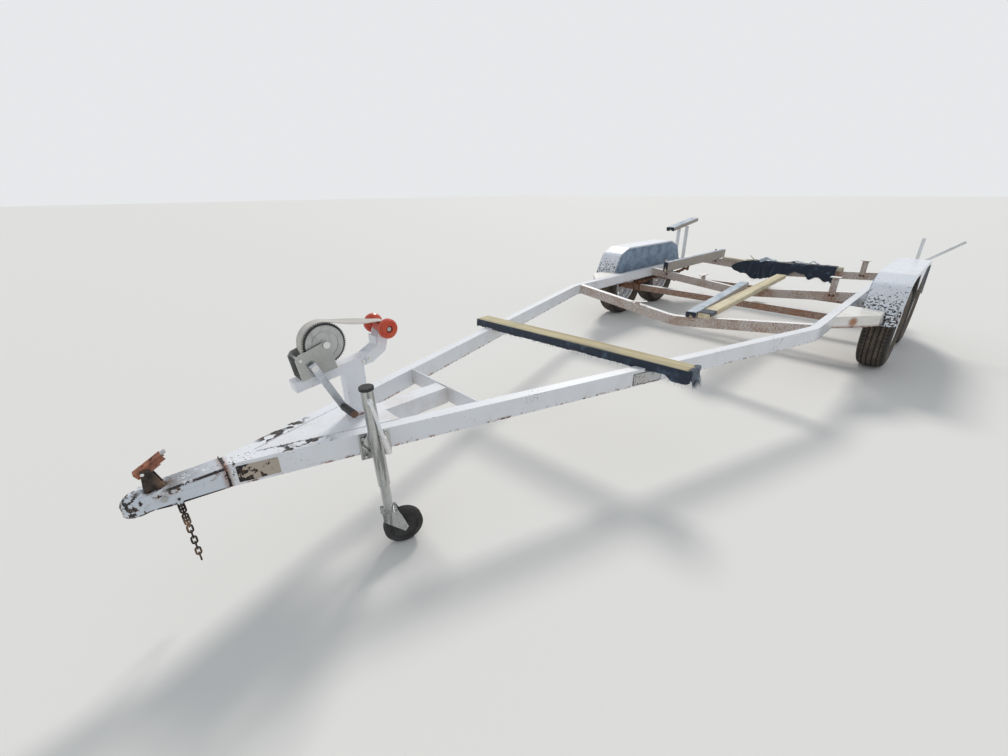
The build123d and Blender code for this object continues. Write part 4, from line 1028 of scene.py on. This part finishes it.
# Middle along the board and across it, length, width, turn and peak of each pale scrap on the heap
SCRAPS = ((-0.245, -0.018, 0.170, 0.080, 0.25, 0.034), (0.050, 0.010, 0.120, 0.052, -0.30, 0.010),
          (0.215, -0.012, 0.085, 0.050, 0.15, 0.030))
# Both ends and the thickness of each splinter of wood on it
SPLINTERS = (
    ((-0.272, 5.900, 0.036), (-0.350, 5.925, 0.092), 0.0055),
    ((-0.120, 5.915, 0.052), (0.035, 5.895, 0.043), 0.0050),
    ((-0.105, 5.893, 0.041), (0.125, 5.890, 0.045), 0.0045),
    ((0.150, 5.905, 0.050), (0.330, 5.915, 0.050), 0.0040),
    ((-0.392, 5.922, 0.040), (-0.300, 5.902, 0.048), 0.0050),
)


# Where the far end starts along the board, and how far it reaches past there
HEAP_END_START = -0.418
HEAP_END_REACH = 0.205
# Height of the heap where the scraps lie, and half the width over which they lie flat
SCRAP_HEIGHT = 0.0415
SCRAP_FLAT = 0.040


def fold_depth(x, hang, waves):
    return abs(sum(depth * ripple((x, share * hang, layer), scale, seed)
                   for depth, share, layer, scale, seed in waves))


def heap_point(t, s):
    """The torn carpet at a share of the way along the board, and from its front edge to its rear one."""
    half = LONG_WIDTH / 2
    x = (t - 0.5) * HEAP_LENGTH
    front = HEAP_FRONT * (0.68 + 0.42 * ripple((x, 0, 0), 5, 13) + 0.16 * ripple((x, 0, 0), 19, 2))
    rear = HEAP_REAR * (0.70 + 0.30 * ripple((x, 1, 0), 6, 19))
    at = s * (front + LONG_WIDTH + rear)
    y = at - front - half
    hang = abs(y) - half
    if hang > 0:
        wave = min(1.0, hang / 0.08)
        waves, lean = (FRONT_FOLDS, 0.012) if y < 0 else (REAR_FOLDS, 0.010)
        y = math.copysign(half + 0.006 + wave * (fold_depth(x, hang, waves) + lean), y)
        z = HEAP_TOP - hang + 0.004
    else:
        rise = 0.010 * max(0.0, ripple((x, y, 0), 10, 21)) + 0.008 * max(0.0, ripple((x, y, 0), 24, 5))
        z = HEAP_TOP + 0.002 + rise
    return x + 0.006 * ripple((s, t, 0), 14, 4), y, z + 0.0012 * ripple((x, at, 0), 90)


def heap_end_point(t, s):
    """Its far end, which slides off the board and hangs in a round flap before the crossmember."""
    x = HEAP_END_START - HEAP_END_REACH * t
    high = HEAP_TOP + 0.004 - 0.070 * t ** 1.7 + 0.004 * ripple((x, 0, 0), 22, 3)
    low = HEAP_TOP - 0.150 + 0.035 * t ** 3 + 0.012 * ripple((x, 1, 0), 19, 5)
    z = high + (low - high) * s
    away = (LONG_WIDTH / 2 + 0.010) * (1 - t) + 0.030 * t + s * (fold_depth(x, z, END_FOLDS) + 0.010)
    return x - 0.010 * math.sin(math.pi * s) * t, -away, z


def make_heap():
    place, _ = board_place(HEAP_START, HEAP_START + HEAP_LENGTH, REAR_MEMBER_Y, LONG_HEIGHT)
    rows = grid(86, 36, heap_point)
    torn = (([row[0] for row in rows], (0, -0.3, -1), 130, 0.02, 31),
            ([row[-1] for row in rows], (0, 0.3, -1), 90, 0.02, 33), (rows[0], (-1, 0, -0.3), 60, 0.02, 35))
    add_cloth("torn_carpet", rows, THICK_CARPET, "carpet_dark", "navy_carpet", (HEAP_LENGTH, 0.36), "draped",
              ["broken_board_long"], torn, sharp=70, place=place, stands_for="carpet_heap")
    add_cloth("torn_carpet_end", grid(24, 14, heap_end_point), THICK_CARPET, "carpet_dark", "navy_carpet",
              (0.22, 0.12), "hung", ["torn_carpet"], sharp=70, place=place)
    make_scraps(place)
    make_splinters()


def make_scraps(place):
    """Pale scraps of carpet that lie crumpled on the heap's top."""
    for number, (along, across, length, width, turn, peak) in enumerate(SCRAPS, 1):
        def scrap(t, u):
            s = t - 0.5
            r = (u - 0.5) * (1 + 0.25 * ripple((s, number, 0), 3, 2))
            x = along + s * length * math.cos(turn) - r * width * math.sin(turn)
            y = across + s * length * math.sin(turn) + r * width * math.cos(turn)
            beyond = max(0.0, abs(y) - SCRAP_FLAT)
            z = SCRAP_HEIGHT + 0.006 * abs(ripple((x, y, number), 26, 3)) + 0.003 * ripple((x, y, 2), 60, 4)
            z += peak * max(0.0, 1 - abs(2.4 * s + 0.3)) * (1 - 0.7 * abs(r)) - 0.9 * beyond
            return x + 0.004 * ripple((s, r, 1), 9, number), y - math.copysign(0.3 * beyond, y), z

        add_cloth("carpet_scrap_" + str(number), grid(22, 12, scrap), THIN_CARPET, "carpet_blue",
                  "pale_scrap", (length, width), "draped", ["torn_carpet"], sharp=70, place=place)


def make_splinters():
    bm = bmesh.new()
    for number, (start, stop, thick) in enumerate(SPLINTERS):
        line = []
        for k in range(9):
            bend = Vector((0, ripple((k, number, 0), 0.4, 3), ripple((k, number, 1), 0.4, 5))) * 0.004
            line.append(Vector(start).lerp(Vector(stop), k / 8) + bend)
        add_rod(bm, line, lambda t: thick * (0.25 + 0.75 * math.sin(math.pi * (0.15 + 0.75 * t)) ** 0.5), 5)
    add_piece("board_splinters", bm, "bare_wood", "bunk_timber", sharp=30)


# Winch strap: from the roll's top, over the bow roller's waist, to a loose end behind it
STRAP_ROLL = 0.0757
STRAP_TURNS = 15
DRUM_CORE = 0.030
ROLLER_WAIST = 0.0216
STRAP_WIDTH = 0.046
STRAP_THICK = 0.0024
STRAP_HANG = 0.048
STRAP_TWIST = -0.26


def about(axis, radius, turn):
    """Point round an axis across the frame, at an angle up from the rear."""
    return Vector((0, axis[0] + radius * math.cos(turn), axis[1] + radius * math.sin(turn)))


def strap_line():
    """The strap's middle line, as points with its twist at each."""
    (y0, z0), (y1, z1) = DRUM_AXIS, ROLLER_AXIS
    near, far = STRAP_ROLL + STRAP_THICK / 2, ROLLER_WAIST + STRAP_THICK / 2
    slope = math.atan2(z1 - z0, y1 - y0) - math.asin((near - far) / math.hypot(y1 - y0, z1 - z0))
    top = math.pi / 2 + slope
    line = [(about(DRUM_AXIS, near, top + k * 0.09), 0.0) for k in range(24, 0, -1)]
    for k in range(34):
        wave = math.sin(math.pi * k / 33)
        point = about(DRUM_AXIS, near, top).lerp(about(ROLLER_AXIS, far, top), k / 33)
        line.append((point - Vector((0, 0, 0.004 * wave)), STRAP_TWIST * wave ** 2))
    line += [(about(ROLLER_AXIS, far, top * (1 - k / 11)), 0.0) for k in range(1, 12)]
    for share in (k / 8 for k in range(1, 9)):
        line.append((Vector((0, y1 + far - 0.004 * share ** 2, z1 - STRAP_HANG * share)), 0.0))
    return line


def make_strap():
    line = strap_line()
    rows = []
    for i, (point, twist) in enumerate(line):
        ahead = line[min(i + 1, len(line) - 1)][0] - line[max(i - 1, 0)][0]
        normal = Vector((1, 0, 0)).cross(ahead).normalized()
        across = Vector((math.cos(twist), 0, 0)) + normal * math.sin(twist)
        rows.append([point + across * STRAP_WIDTH * (j / 10 - 0.5) for j in range(11)])
    length = sum((a[0] - b[0]).length for a, b in zip(line, line[1:]))
    add_cloth("strap_webbing", rows, STRAP_THICK * 0.8, "webbing", "strap_webbing", (STRAP_WIDTH, length),
              "stretched", ["winch_drum", "bow_roller"], sharp=50, stands_for="winch_strap")


def make_roll():
    """The strap wound on its drum, turn on turn, a little uneven at both sides."""
    outer = STRAP_ROLL - 0.0004
    pitch = (outer - DRUM_CORE) / STRAP_TURNS
    half = STRAP_WIDTH / 2 - 0.0003
    side = []
    for i in range(STRAP_TURNS):
        edge = half - 0.0009 * (0.5 + 0.5 * ripple((i, 0, 0), 0.7, 5))
        for x, share in ((edge - 0.0008, 0), (edge, 0.3), (edge, 0.8)):
            side.append((x, DRUM_CORE + pitch * (i + share)))
    side.append((half - 0.0010, outer))
    profile = side + [(-x, r) for x, r in reversed(side)]
    rings = []
    for angle in (math.tau * k / 72 for k in range(72)):
        swell = 1 + 0.004 * math.sin(angle * 3 + 1)
        rings.append([(x, r * swell * math.cos(angle), r * swell * math.sin(angle)) for x, r in profile])
    bm = bmesh.new()
    add_skin(bm, rings, path_closed=True)
    add_piece("strap_roll", bm, "webbing", "strap_webbing", body="winch_drum", sharp=35,
              place=Matrix.Translation((0, *DRUM_AXIS)))


# Welds
BEAD_PITCH = 0.0055
POST_Y = 0.708
# Radii of the thin beads, the post's, those up the rails' front ends and the seam on top of the coupler
THIN_BEAD = 0.003
POST_BEAD = 0.0045
NOSE_BEAD = 0.004
SEAM_BEAD = 0.0022
# Foot and top of the beads up a crossmember's ends, and half the seam's length
MEMBER_WELD = (RAIL_TOP - 0.074, RAIL_TOP - 0.002)
SEAM_HALF = 0.045
# Half the post's width and depth, with its weld
POST_HALF = (0.0255, 0.038)


def add_bead(bm, start, end, radius=0.0036):
    """Weld bead: rounded ripples one after another, a little uneven."""
    start, end = Vector(start), Vector(end)
    count = max(2, int((end - start).length / BEAD_PITCH)) * 2
    points = [start.lerp(end, i / count) for i in range(count + 1)]

    def size(t):
        i = round(t * count)
        return radius * (1.0 if i % 2 else 0.80) * (1 + 0.22 * ripple(points[i], 40, 1.0))

    add_rod(bm, points, size, 6)


def make_welds():
    bm = bmesh.new()
    inner = RAIL_OUTER - RAIL_WIDTH
    slant = RAIL_WIDTH / math.cos(TONGUE_ANGLE)
    for name in ("crossmember_front", "crossmember_middle", "crossmember_rear"):
        low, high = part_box(name)
        for x in (-inner, inner):
            for y in (low.y, high.y):
                add_bead(bm, *((x, y, z) for z in MEMBER_WELD))
            add_bead(bm, (x, low.y, RAIL_TOP - 0.0005), (x, high.y, RAIL_TOP - 0.0005), THIN_BEAD)
    for side, sign in SIDES:
        low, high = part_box("fender_steps_" + side)
        fender_low, fender_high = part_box("fender_" + side)
        x = sign * (RAIL_OUTER + 0.001)
        for y0, y1 in ((low.y + 0.01, fender_low.y + 0.03), (fender_high.y - 0.03, high.y - 0.01)):
            add_bead(bm, (x, y0, RAIL_TOP - 0.001), (x, y1, RAIL_TOP - 0.001))
    low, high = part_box("tongue_cross_plate")
    for sign in (-1, 1):
        x = sign * (outer_x(low.y) - slant)
        for y in (low.y - 0.001, high.y + 0.001):
            add_bead(bm, (x, y, low.z), (x, y, high.z))
    low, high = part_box("tongue_plate")
    for sign in (-1, 1):
        ends = [(sign * (outer_x(y) - slant), y, RAIL_TOP) for y in (low.y + 0.02, high.y)]
        add_bead(bm, *ends, THIN_BEAD)
    half_x, half_y = POST_HALF
    corners = [(x * half_x, POST_Y + y * half_y) for x, y in ((-1, -1), (1, -1), (1, 1), (-1, 1))]
    for a, b in zip(corners, corners[1:] + corners[:1]):
        add_bead(bm, (*a, RAIL_TOP + 0.001), (*b, RAIL_TOP + 0.001), POST_BEAD)
    for sign in (-1, 1):
        x = sign * outer_x(TONGUE_FRONT)
        add_bead(bm, (x, TONGUE_FRONT, RAIL_BOTTOM + 0.006), (x, TONGUE_FRONT, RAIL_TOP - 0.003), NOSE_BEAD)
    seam = [(x, TONGUE_FRONT, RAIL_TOP - 0.001) for x in (-SEAM_HALF, SEAM_HALF)]
    add_bead(bm, *seam, SEAM_BEAD)
    add_piece("weld_beads", bm, "frame_paint", "bead_paint", sharp=70)


# Bolts, each kind by its size across flats, height and washer's radius
JACK_BOLT = (0.014, 0.007, 0.010)
ROLLER_BOLT = (0.013, 0.007, 0.009)
WINCH_BOLT = (0.009, 0.005, 0.006)
U_BOLT_NUT = (0.019, 0.011, 0.011)
SPRING_BOLT = (0.014, 0.008, 0.010)
BRACKET_BOLT = (0.014, 0.008, 0.011)

# Heights of a washer's side and top, its chamfer, and where the head starts
WASHER_SIDE = 0.0014
WASHER_TOP = 0.0019
WASHER_CHAMFER = 0.0006
HEAD_START = 0.0018

JACK_PLACE = (Matrix.Translation((0.168809, 0.680, 0)) @ Matrix.Rotation(-TONGUE_ANGLE, 4, "Z")
              @ Matrix.Rotation(math.radians(2), 4, "X"))
JACK_OFFSET = 0.044
JACK_TOP = 0.235
JACK_RADIUS = 0.0225
JACK_CAP_RADIUS = 0.0247
ARM_PLACE = Matrix.Translation((0, POST_Y, 0.269)) @ Matrix.Rotation(math.radians(7.5), 4, "X")
SPRING_X = 0.944
AXLE_YS = (4.428, 5.208)
AXLE_Z = -0.145
SPRING_TOP = -0.090
# How far each U-bolt lies beside its spring's middle, half its width and its rod's radius, and the heights
# of its ends and of its legs' feet
U_BOLT_SHIFT = 0.031
U_BOLT_HALF = 0.037
U_BOLT_ROD = 0.0058
U_BOLT_LEG = (SPRING_TOP + 0.026, AXLE_Z + 0.020)
# Half the width and depth of the plate on top of a spring, and its thickness
SPRING_PLATE = (0.044, 0.050)
SPRING_PLATE_THICK = 0.0065
# Where the bunk brackets are bolted to the crossmembers, and the fenders' braces to theirs
BRACKET_X = 0.755
BRACE_X = 1.010
BRACE_YS = (4.488, 5.148)


def add_bolt(bm, place, across, height, washer, index=0):
    """Chamfered hexagon head on a washer, standing on a place's +Z."""
    def ring(radius, z, sides, turn=0.0):
        return [place @ Vector((radius * c, radius * s, z)) for c, s in circle(sides, turn)]

    steps = ((washer, 0), (washer, WASHER_SIDE), (washer - WASHER_CHAMFER, WASHER_TOP))
    add_skin(bm, [ring(r, z, 18) for r, z in steps], index=index)
    radius = across / math.sqrt(3)
    turn = place.translation.y * 9
    steps = ((radius, HEAD_START), (radius, height * 0.8), (radius * 0.86, height))
    add_skin(bm, [ring(r, z, 6, turn) for r, z in steps], index=index)


def make_bright_bolts():
    """Bolt heads on the jack's bracket, the roller's ears and the winch."""
    bm = bmesh.new()
    for y in (-0.042, 0.042):
        for z in (-0.056, 0.020):
            out = JACK_PLACE.to_3x3() @ Vector((1, 0, 0))
            add_bolt(bm, standing_on(JACK_PLACE @ Vector((0.008, y, z)), out), *JACK_BOLT, index=1)
    for sign in (-1, 1):
        for x, y, z, kind in ((0.0305, 0.060, -0.019, ROLLER_BOLT), (0.0255, 0.036, -0.019, ROLLER_BOLT),
                              (0.038, -0.180, 0.0725, WINCH_BOLT)):
            add_bolt(bm, standing_on(ARM_PLACE @ Vector((sign * x, y, z)), (sign, 0, 0)), *kind)
    add_piece("bright_bolts", bm, "winch_zinc", "bright_zinc", "galvanised")


def add_u_bolt(bm, x, y):
    """Rod down before an axle, round it and up again, with a nut on each end."""
    path = [(-U_BOLT_HALF, z) for z in U_BOLT_LEG]
    for angle in (math.pi * k / 8 for k in range(9)):
        path.append((-U_BOLT_HALF * math.cos(angle), AXLE_Z - 0.006 - 0.030 * math.sin(angle) ** 0.6))
    path += [(U_BOLT_HALF, z) for z in reversed(U_BOLT_LEG)]
    add_rod(bm, [Vector((x, y + along, z)) for along, z in path], U_BOLT_ROD, 10)
    for side in (-U_BOLT_HALF, U_BOLT_HALF):
        add_bolt(bm, Matrix.Translation((x, y + side, SPRING_TOP + SPRING_PLATE_THICK)), *U_BOLT_NUT)


def make_rusted_bolts():
    """U-bolts round the axles, spring plates, and bolts of the bunk brackets and the fenders' braces."""
    bm = bmesh.new()
    half_x, half_y = SPRING_PLATE
    for x in (-SPRING_X, SPRING_X):
        for y in AXLE_YS:
            for shift in (-U_BOLT_SHIFT, U_BOLT_SHIFT):
                add_u_bolt(bm, x + shift, y)
            rings = []
            for z, inset in ((0.0005, 0.0), (0.0055, 0.0), (SPRING_PLATE_THICK, 0.002)):
                rings.append([(x + sx * (half_x - inset), y + sy * (half_y - inset), SPRING_TOP + z)
                              for sx, sy in ((-1, -1), (1, -1), (1, 1), (-1, 1))])
            add_skin(bm, rings)
            add_bolt(bm, Matrix.Translation((x, y, SPRING_TOP + SPRING_PLATE_THICK)), *SPRING_BOLT)
    spots = []
    for x in (-BRACKET_X, BRACKET_X):
        for name in ("crossmember_middle", "crossmember_rear"):
            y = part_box(name)[0].y - 0.0065
            spots += [(x + shift, y, RAIL_TOP - 0.045) for shift in (-0.013, 0.013)]
    spots += [(sign * BRACE_X, y - 0.0205, -0.008) for sign in (-1, 1) for y in BRACE_YS]
    for spot in spots:
        add_bolt(bm, standing_on(spot, (0, -1, 0)), *BRACKET_BOLT)
    add_piece("rusted_bolts", bm, "rusty_steel", "rusted_steel")


RIVET_RADIUS = 0.0026
RIVET_HEIGHT = 0.0014
RIVET_INSET = 0.006
# Finish of the rim and the face of each bare plate, its ends along the rail and its lower and upper edge
PLATES = {
    "plate_front": ("bare_plate", "bare_plate", 0.255, 0.375, -0.040, 0.022),
    "plate_rear": ("dark_plate", "pale_plate", 1.860, 2.035, -0.044, 0.018),
}


def make_plates():
    """Two bare plates riveted to the near rail's side, one scraped pale and one dark."""
    for name, (rim, face, y0, y1, z0, z1) in PLATES.items():
        middle = (y0 + y1) / 2
        place = (Matrix.Translation((outer_x(middle), middle, (z0 + z1) / 2))
                 @ Matrix.Rotation(-TONGUE_ANGLE, 4, "Z"))
        half_y = (y1 - y0) / 2 / math.cos(TONGUE_ANGLE)
        half_z = (z1 - z0) / 2
        path = [(y, z) for z, y in section_path(2 * half_z, 2 * half_y, 0.004, 0.02)]
        bm = bmesh.new()
        for index, steps in enumerate((((0.0002, 0.0), (0.0009, 0.0), (0.0012, 0.0005)),
                                       ((0.0010, 0.0035), (0.0014, 0.0037)))):
            add_skin(bm, [[(x, y * (1 - inset / half_y), z * (1 - inset / half_z)) for y, z in path]
                          for x, inset in steps], index=index)
        for sy, sz in ((-1, -1), (-1, 1), (1, -1), (1, 1)):
            head = standing_on((0.001, sy * (half_y - RIVET_INSET), sz * (half_z - RIVET_INSET)), (1, 0, 0))
            dome = []
            for rise in (math.pi / 2 * k / 4 for k in range(4)):
                radius = RIVET_RADIUS * math.cos(rise)
                dome.append([head @ Vector((radius * c, radius * s, RIVET_HEIGHT * math.sin(rise)))
                             for c, s in circle(10)])
            add_skin(bm, dome)
        add_piece(name, bm, "frame_paint", rim, face, place=place)


# Where each pin or nut starts beside the middle, and its radius
DRUM_PIN = (0.0375, 0.0125)
CRANK_NUT = (0.0545, 0.013)
COUPLER_PIN = (0.0385, 0.0095)
ROLLER_PIN_RADIUS = 0.0082
# Where the crank's grip starts, how far it lies from the crank's axis, and where its end starts
GRIP_START = 0.0595
GRIP_REACH = 0.165
GRIP_END = 0.1415


def dress_details():
    """Finishes that change within one node: roll, grips, caps and pins."""
    def off(p):
        return math.hypot(p.y, p.z)

    def is_pin(p, start, radius):
        return abs(p.x) > start and off(p) < radius

    drum, roller, crank, pivot = (Matrix.Translation((0, *axis))
                                  for axis in (DRUM_AXIS, ROLLER_AXIS, CRANK_AXIS, LATCH_AXIS))
    dress_where("winch_drum", "bright_zinc", drum, lambda p: is_pin(p, *DRUM_PIN))
    dress_where("winch_crank", "bright_zinc", crank, lambda p: p.x > 0 and is_pin(p, *CRANK_NUT))
    dress_where("winch_crank", "black_plastic", crank, lambda p: p.x > GRIP_START and off(p) > GRIP_REACH)
    dress_where("winch_crank", "grip_end", crank, lambda p: p.x > GRIP_END)
    latch = pivot @ Matrix.Rotation(LATCH_TILT, 4, "X")
    dress_where("latch_lever", "winch_zinc", latch,
                lambda p: abs(p.x) < 0.0095 and p.y > 0.0675 and 0.0125 < p.z < 0.0195)
    dress_where("latch_lever", "trigger", latch,
                lambda p: abs(p.x) < 0.0052 and p.z < 0.0125 and 0.025 < p.y < 0.063)
    dress_where("latch_lever", "dark_steel", Matrix(), lambda p: abs(p.x) > 0.0154 or p.z < 0.0354)
    dress_where("latch_lever", "bright_zinc", Matrix(), lambda p: abs(p.x) > 0.0197)
    boss = Matrix.Translation((0, COUPLER_BOSS_Y, 0))
    dress_where("coupler", "winch_zinc", boss, lambda p: is_pin(p, *COUPLER_PIN))
    dress_where("coupler", "dark_steel", boss, lambda p: abs(p.x) > COUPLER_PIN[0] and p.y > 0.020)
    dress_where("bow_roller", "winch_zinc", roller, lambda p: off(p) < ROLLER_PIN_RADIUS)
    grip = JACK_OFFSET + JACK_RADIUS + 0.002
    for finish, test in (("grey_plastic", lambda p: p.z > JACK_TOP - 0.0005),
                         ("black_plastic", lambda p: JACK_TOP - 0.013 < p.z < JACK_TOP - 0.0005),
                         ("rod_paint", lambda p: p.x > grip),
                         ("bright_zinc", lambda p: p.x > grip and p.z < 0.046)):
        dress_where("jack_tube", finish, JACK_PLACE, test)


# How far along the grease fitting each of its rings lies, and the ring's radius
FITTING = ((-0.001, 0.0045), (0.002, 0.0045), (0.004, 0.0028), (0.006, 0.0030), (0.009, 0.0022),
           (0.010, 0.0016))


def make_jack_trim():
    """Cap's ribbed skirt and a grease fitting on the jack's tube."""
    rings = []
    for z, grow in ((-0.0118, 0.0), (-0.0110, 0.0008), (-0.0012, 0.0008), (0.0002, 0.0)):
        ring = []
        for k, (c, s) in enumerate(circle(60)):
            radius = JACK_CAP_RADIUS + grow + 0.0006 * (k % 2) * (grow > 0)
            ring.append(JACK_PLACE @ Vector((JACK_OFFSET + radius * c, radius * s, JACK_TOP + z)))
        rings.append(ring)
    bm = bmesh.new()
    add_skin(bm, rings)
    add_piece("jack_cap_skirt", bm, "galvanised", "black_plastic", body="jack")
    root = Vector((JACK_OFFSET, -JACK_RADIUS, 0.150))
    line = [JACK_PLACE @ (root + Vector((0, -s, 0.3 * s))) for s, _ in FITTING]
    bm = bmesh.new()
    add_rod(bm, line, lambda t: FITTING[round(t * 5)][1], 10)
    add_piece("jack_grease_fitting", bm, "galvanised", "bright_zinc", body="jack")


# Studio
FLOOR_COLOUR = (0.74, 0.73, 0.71)
SKY = (0.90, 0.95, 1.0)
SKY_STRENGTH = 0.62
BACKDROP = (0.80, 0.81, 0.83)
SUN_TOWARD = Vector((-0.42, 0.62, 0.66))
SUN_STRENGTH = 1.9
SUN_ANGLE = math.radians(14)
SUN_COLOUR = (1.0, 0.96, 0.90)


def make_floor():
    bpy.ops.mesh.primitive_plane_add(size=160, location=(0, 3, GROUND))
    floor = bpy.context.object
    floor.name = "floor"
    dress(floor, "floor")


def make_lights():
    """A soft sun under a pale sky. The camera, mirrors and glass see a plain backdrop in the sky's place."""
    world = bpy.data.worlds.new("studio")
    bpy.context.scene.world = world
    world.use_nodes = True
    made = world.node_tree.nodes
    link = world.node_tree.links.new
    sky = made["Background"]
    shown = made.new("ShaderNodeBackground")
    for background, colour, strength in ((sky, SKY, SKY_STRENGTH), (shown, BACKDROP, 1.0)):
        background.inputs["Color"].default_value = (*colour, 1)
        background.inputs["Strength"].default_value = strength
    path = made.new("ShaderNodeLightPath")
    seen = path.outputs["Is Camera Ray"]
    for ray in ("Is Glossy Ray", "Is Transmission Ray"):
        either = made.new("ShaderNodeMath")
        either.operation = "MAXIMUM"
        link(seen, either.inputs[0])
        link(path.outputs[ray], either.inputs[1])
        seen = either.outputs[0]
    join = made.new("ShaderNodeMixShader")
    for number, source in enumerate((seen, sky.outputs[0], shown.outputs[0])):
        link(source, join.inputs[number])
    link(join.outputs[0], made["World Output"].inputs["Surface"])
    light = bpy.data.lights.new("key", "SUN")
    light.energy = SUN_STRENGTH
    light.angle = SUN_ANGLE
    light.color = SUN_COLOUR
    sun = add_object("key", light)
    sun.rotation_mode = "QUATERNION"
    sun.rotation_quaternion = SUN_TOWARD.to_track_quat("Z", "Y")


make_camera()
make_finishes()
dress_nodes()
dress_details()
make_tyres()
make_bunks()
make_front_board()
make_fender_carpets()
make_broken_boards()
make_heap()
make_strap()
make_roll()
make_welds()
make_bright_bolts()
make_rusted_bolts()
make_plates()
make_jack_trim()
make_floor()
make_lights()
bpy.context.scene.view_settings.view_transform = "Standard"

bpy.context.view_layer.update()
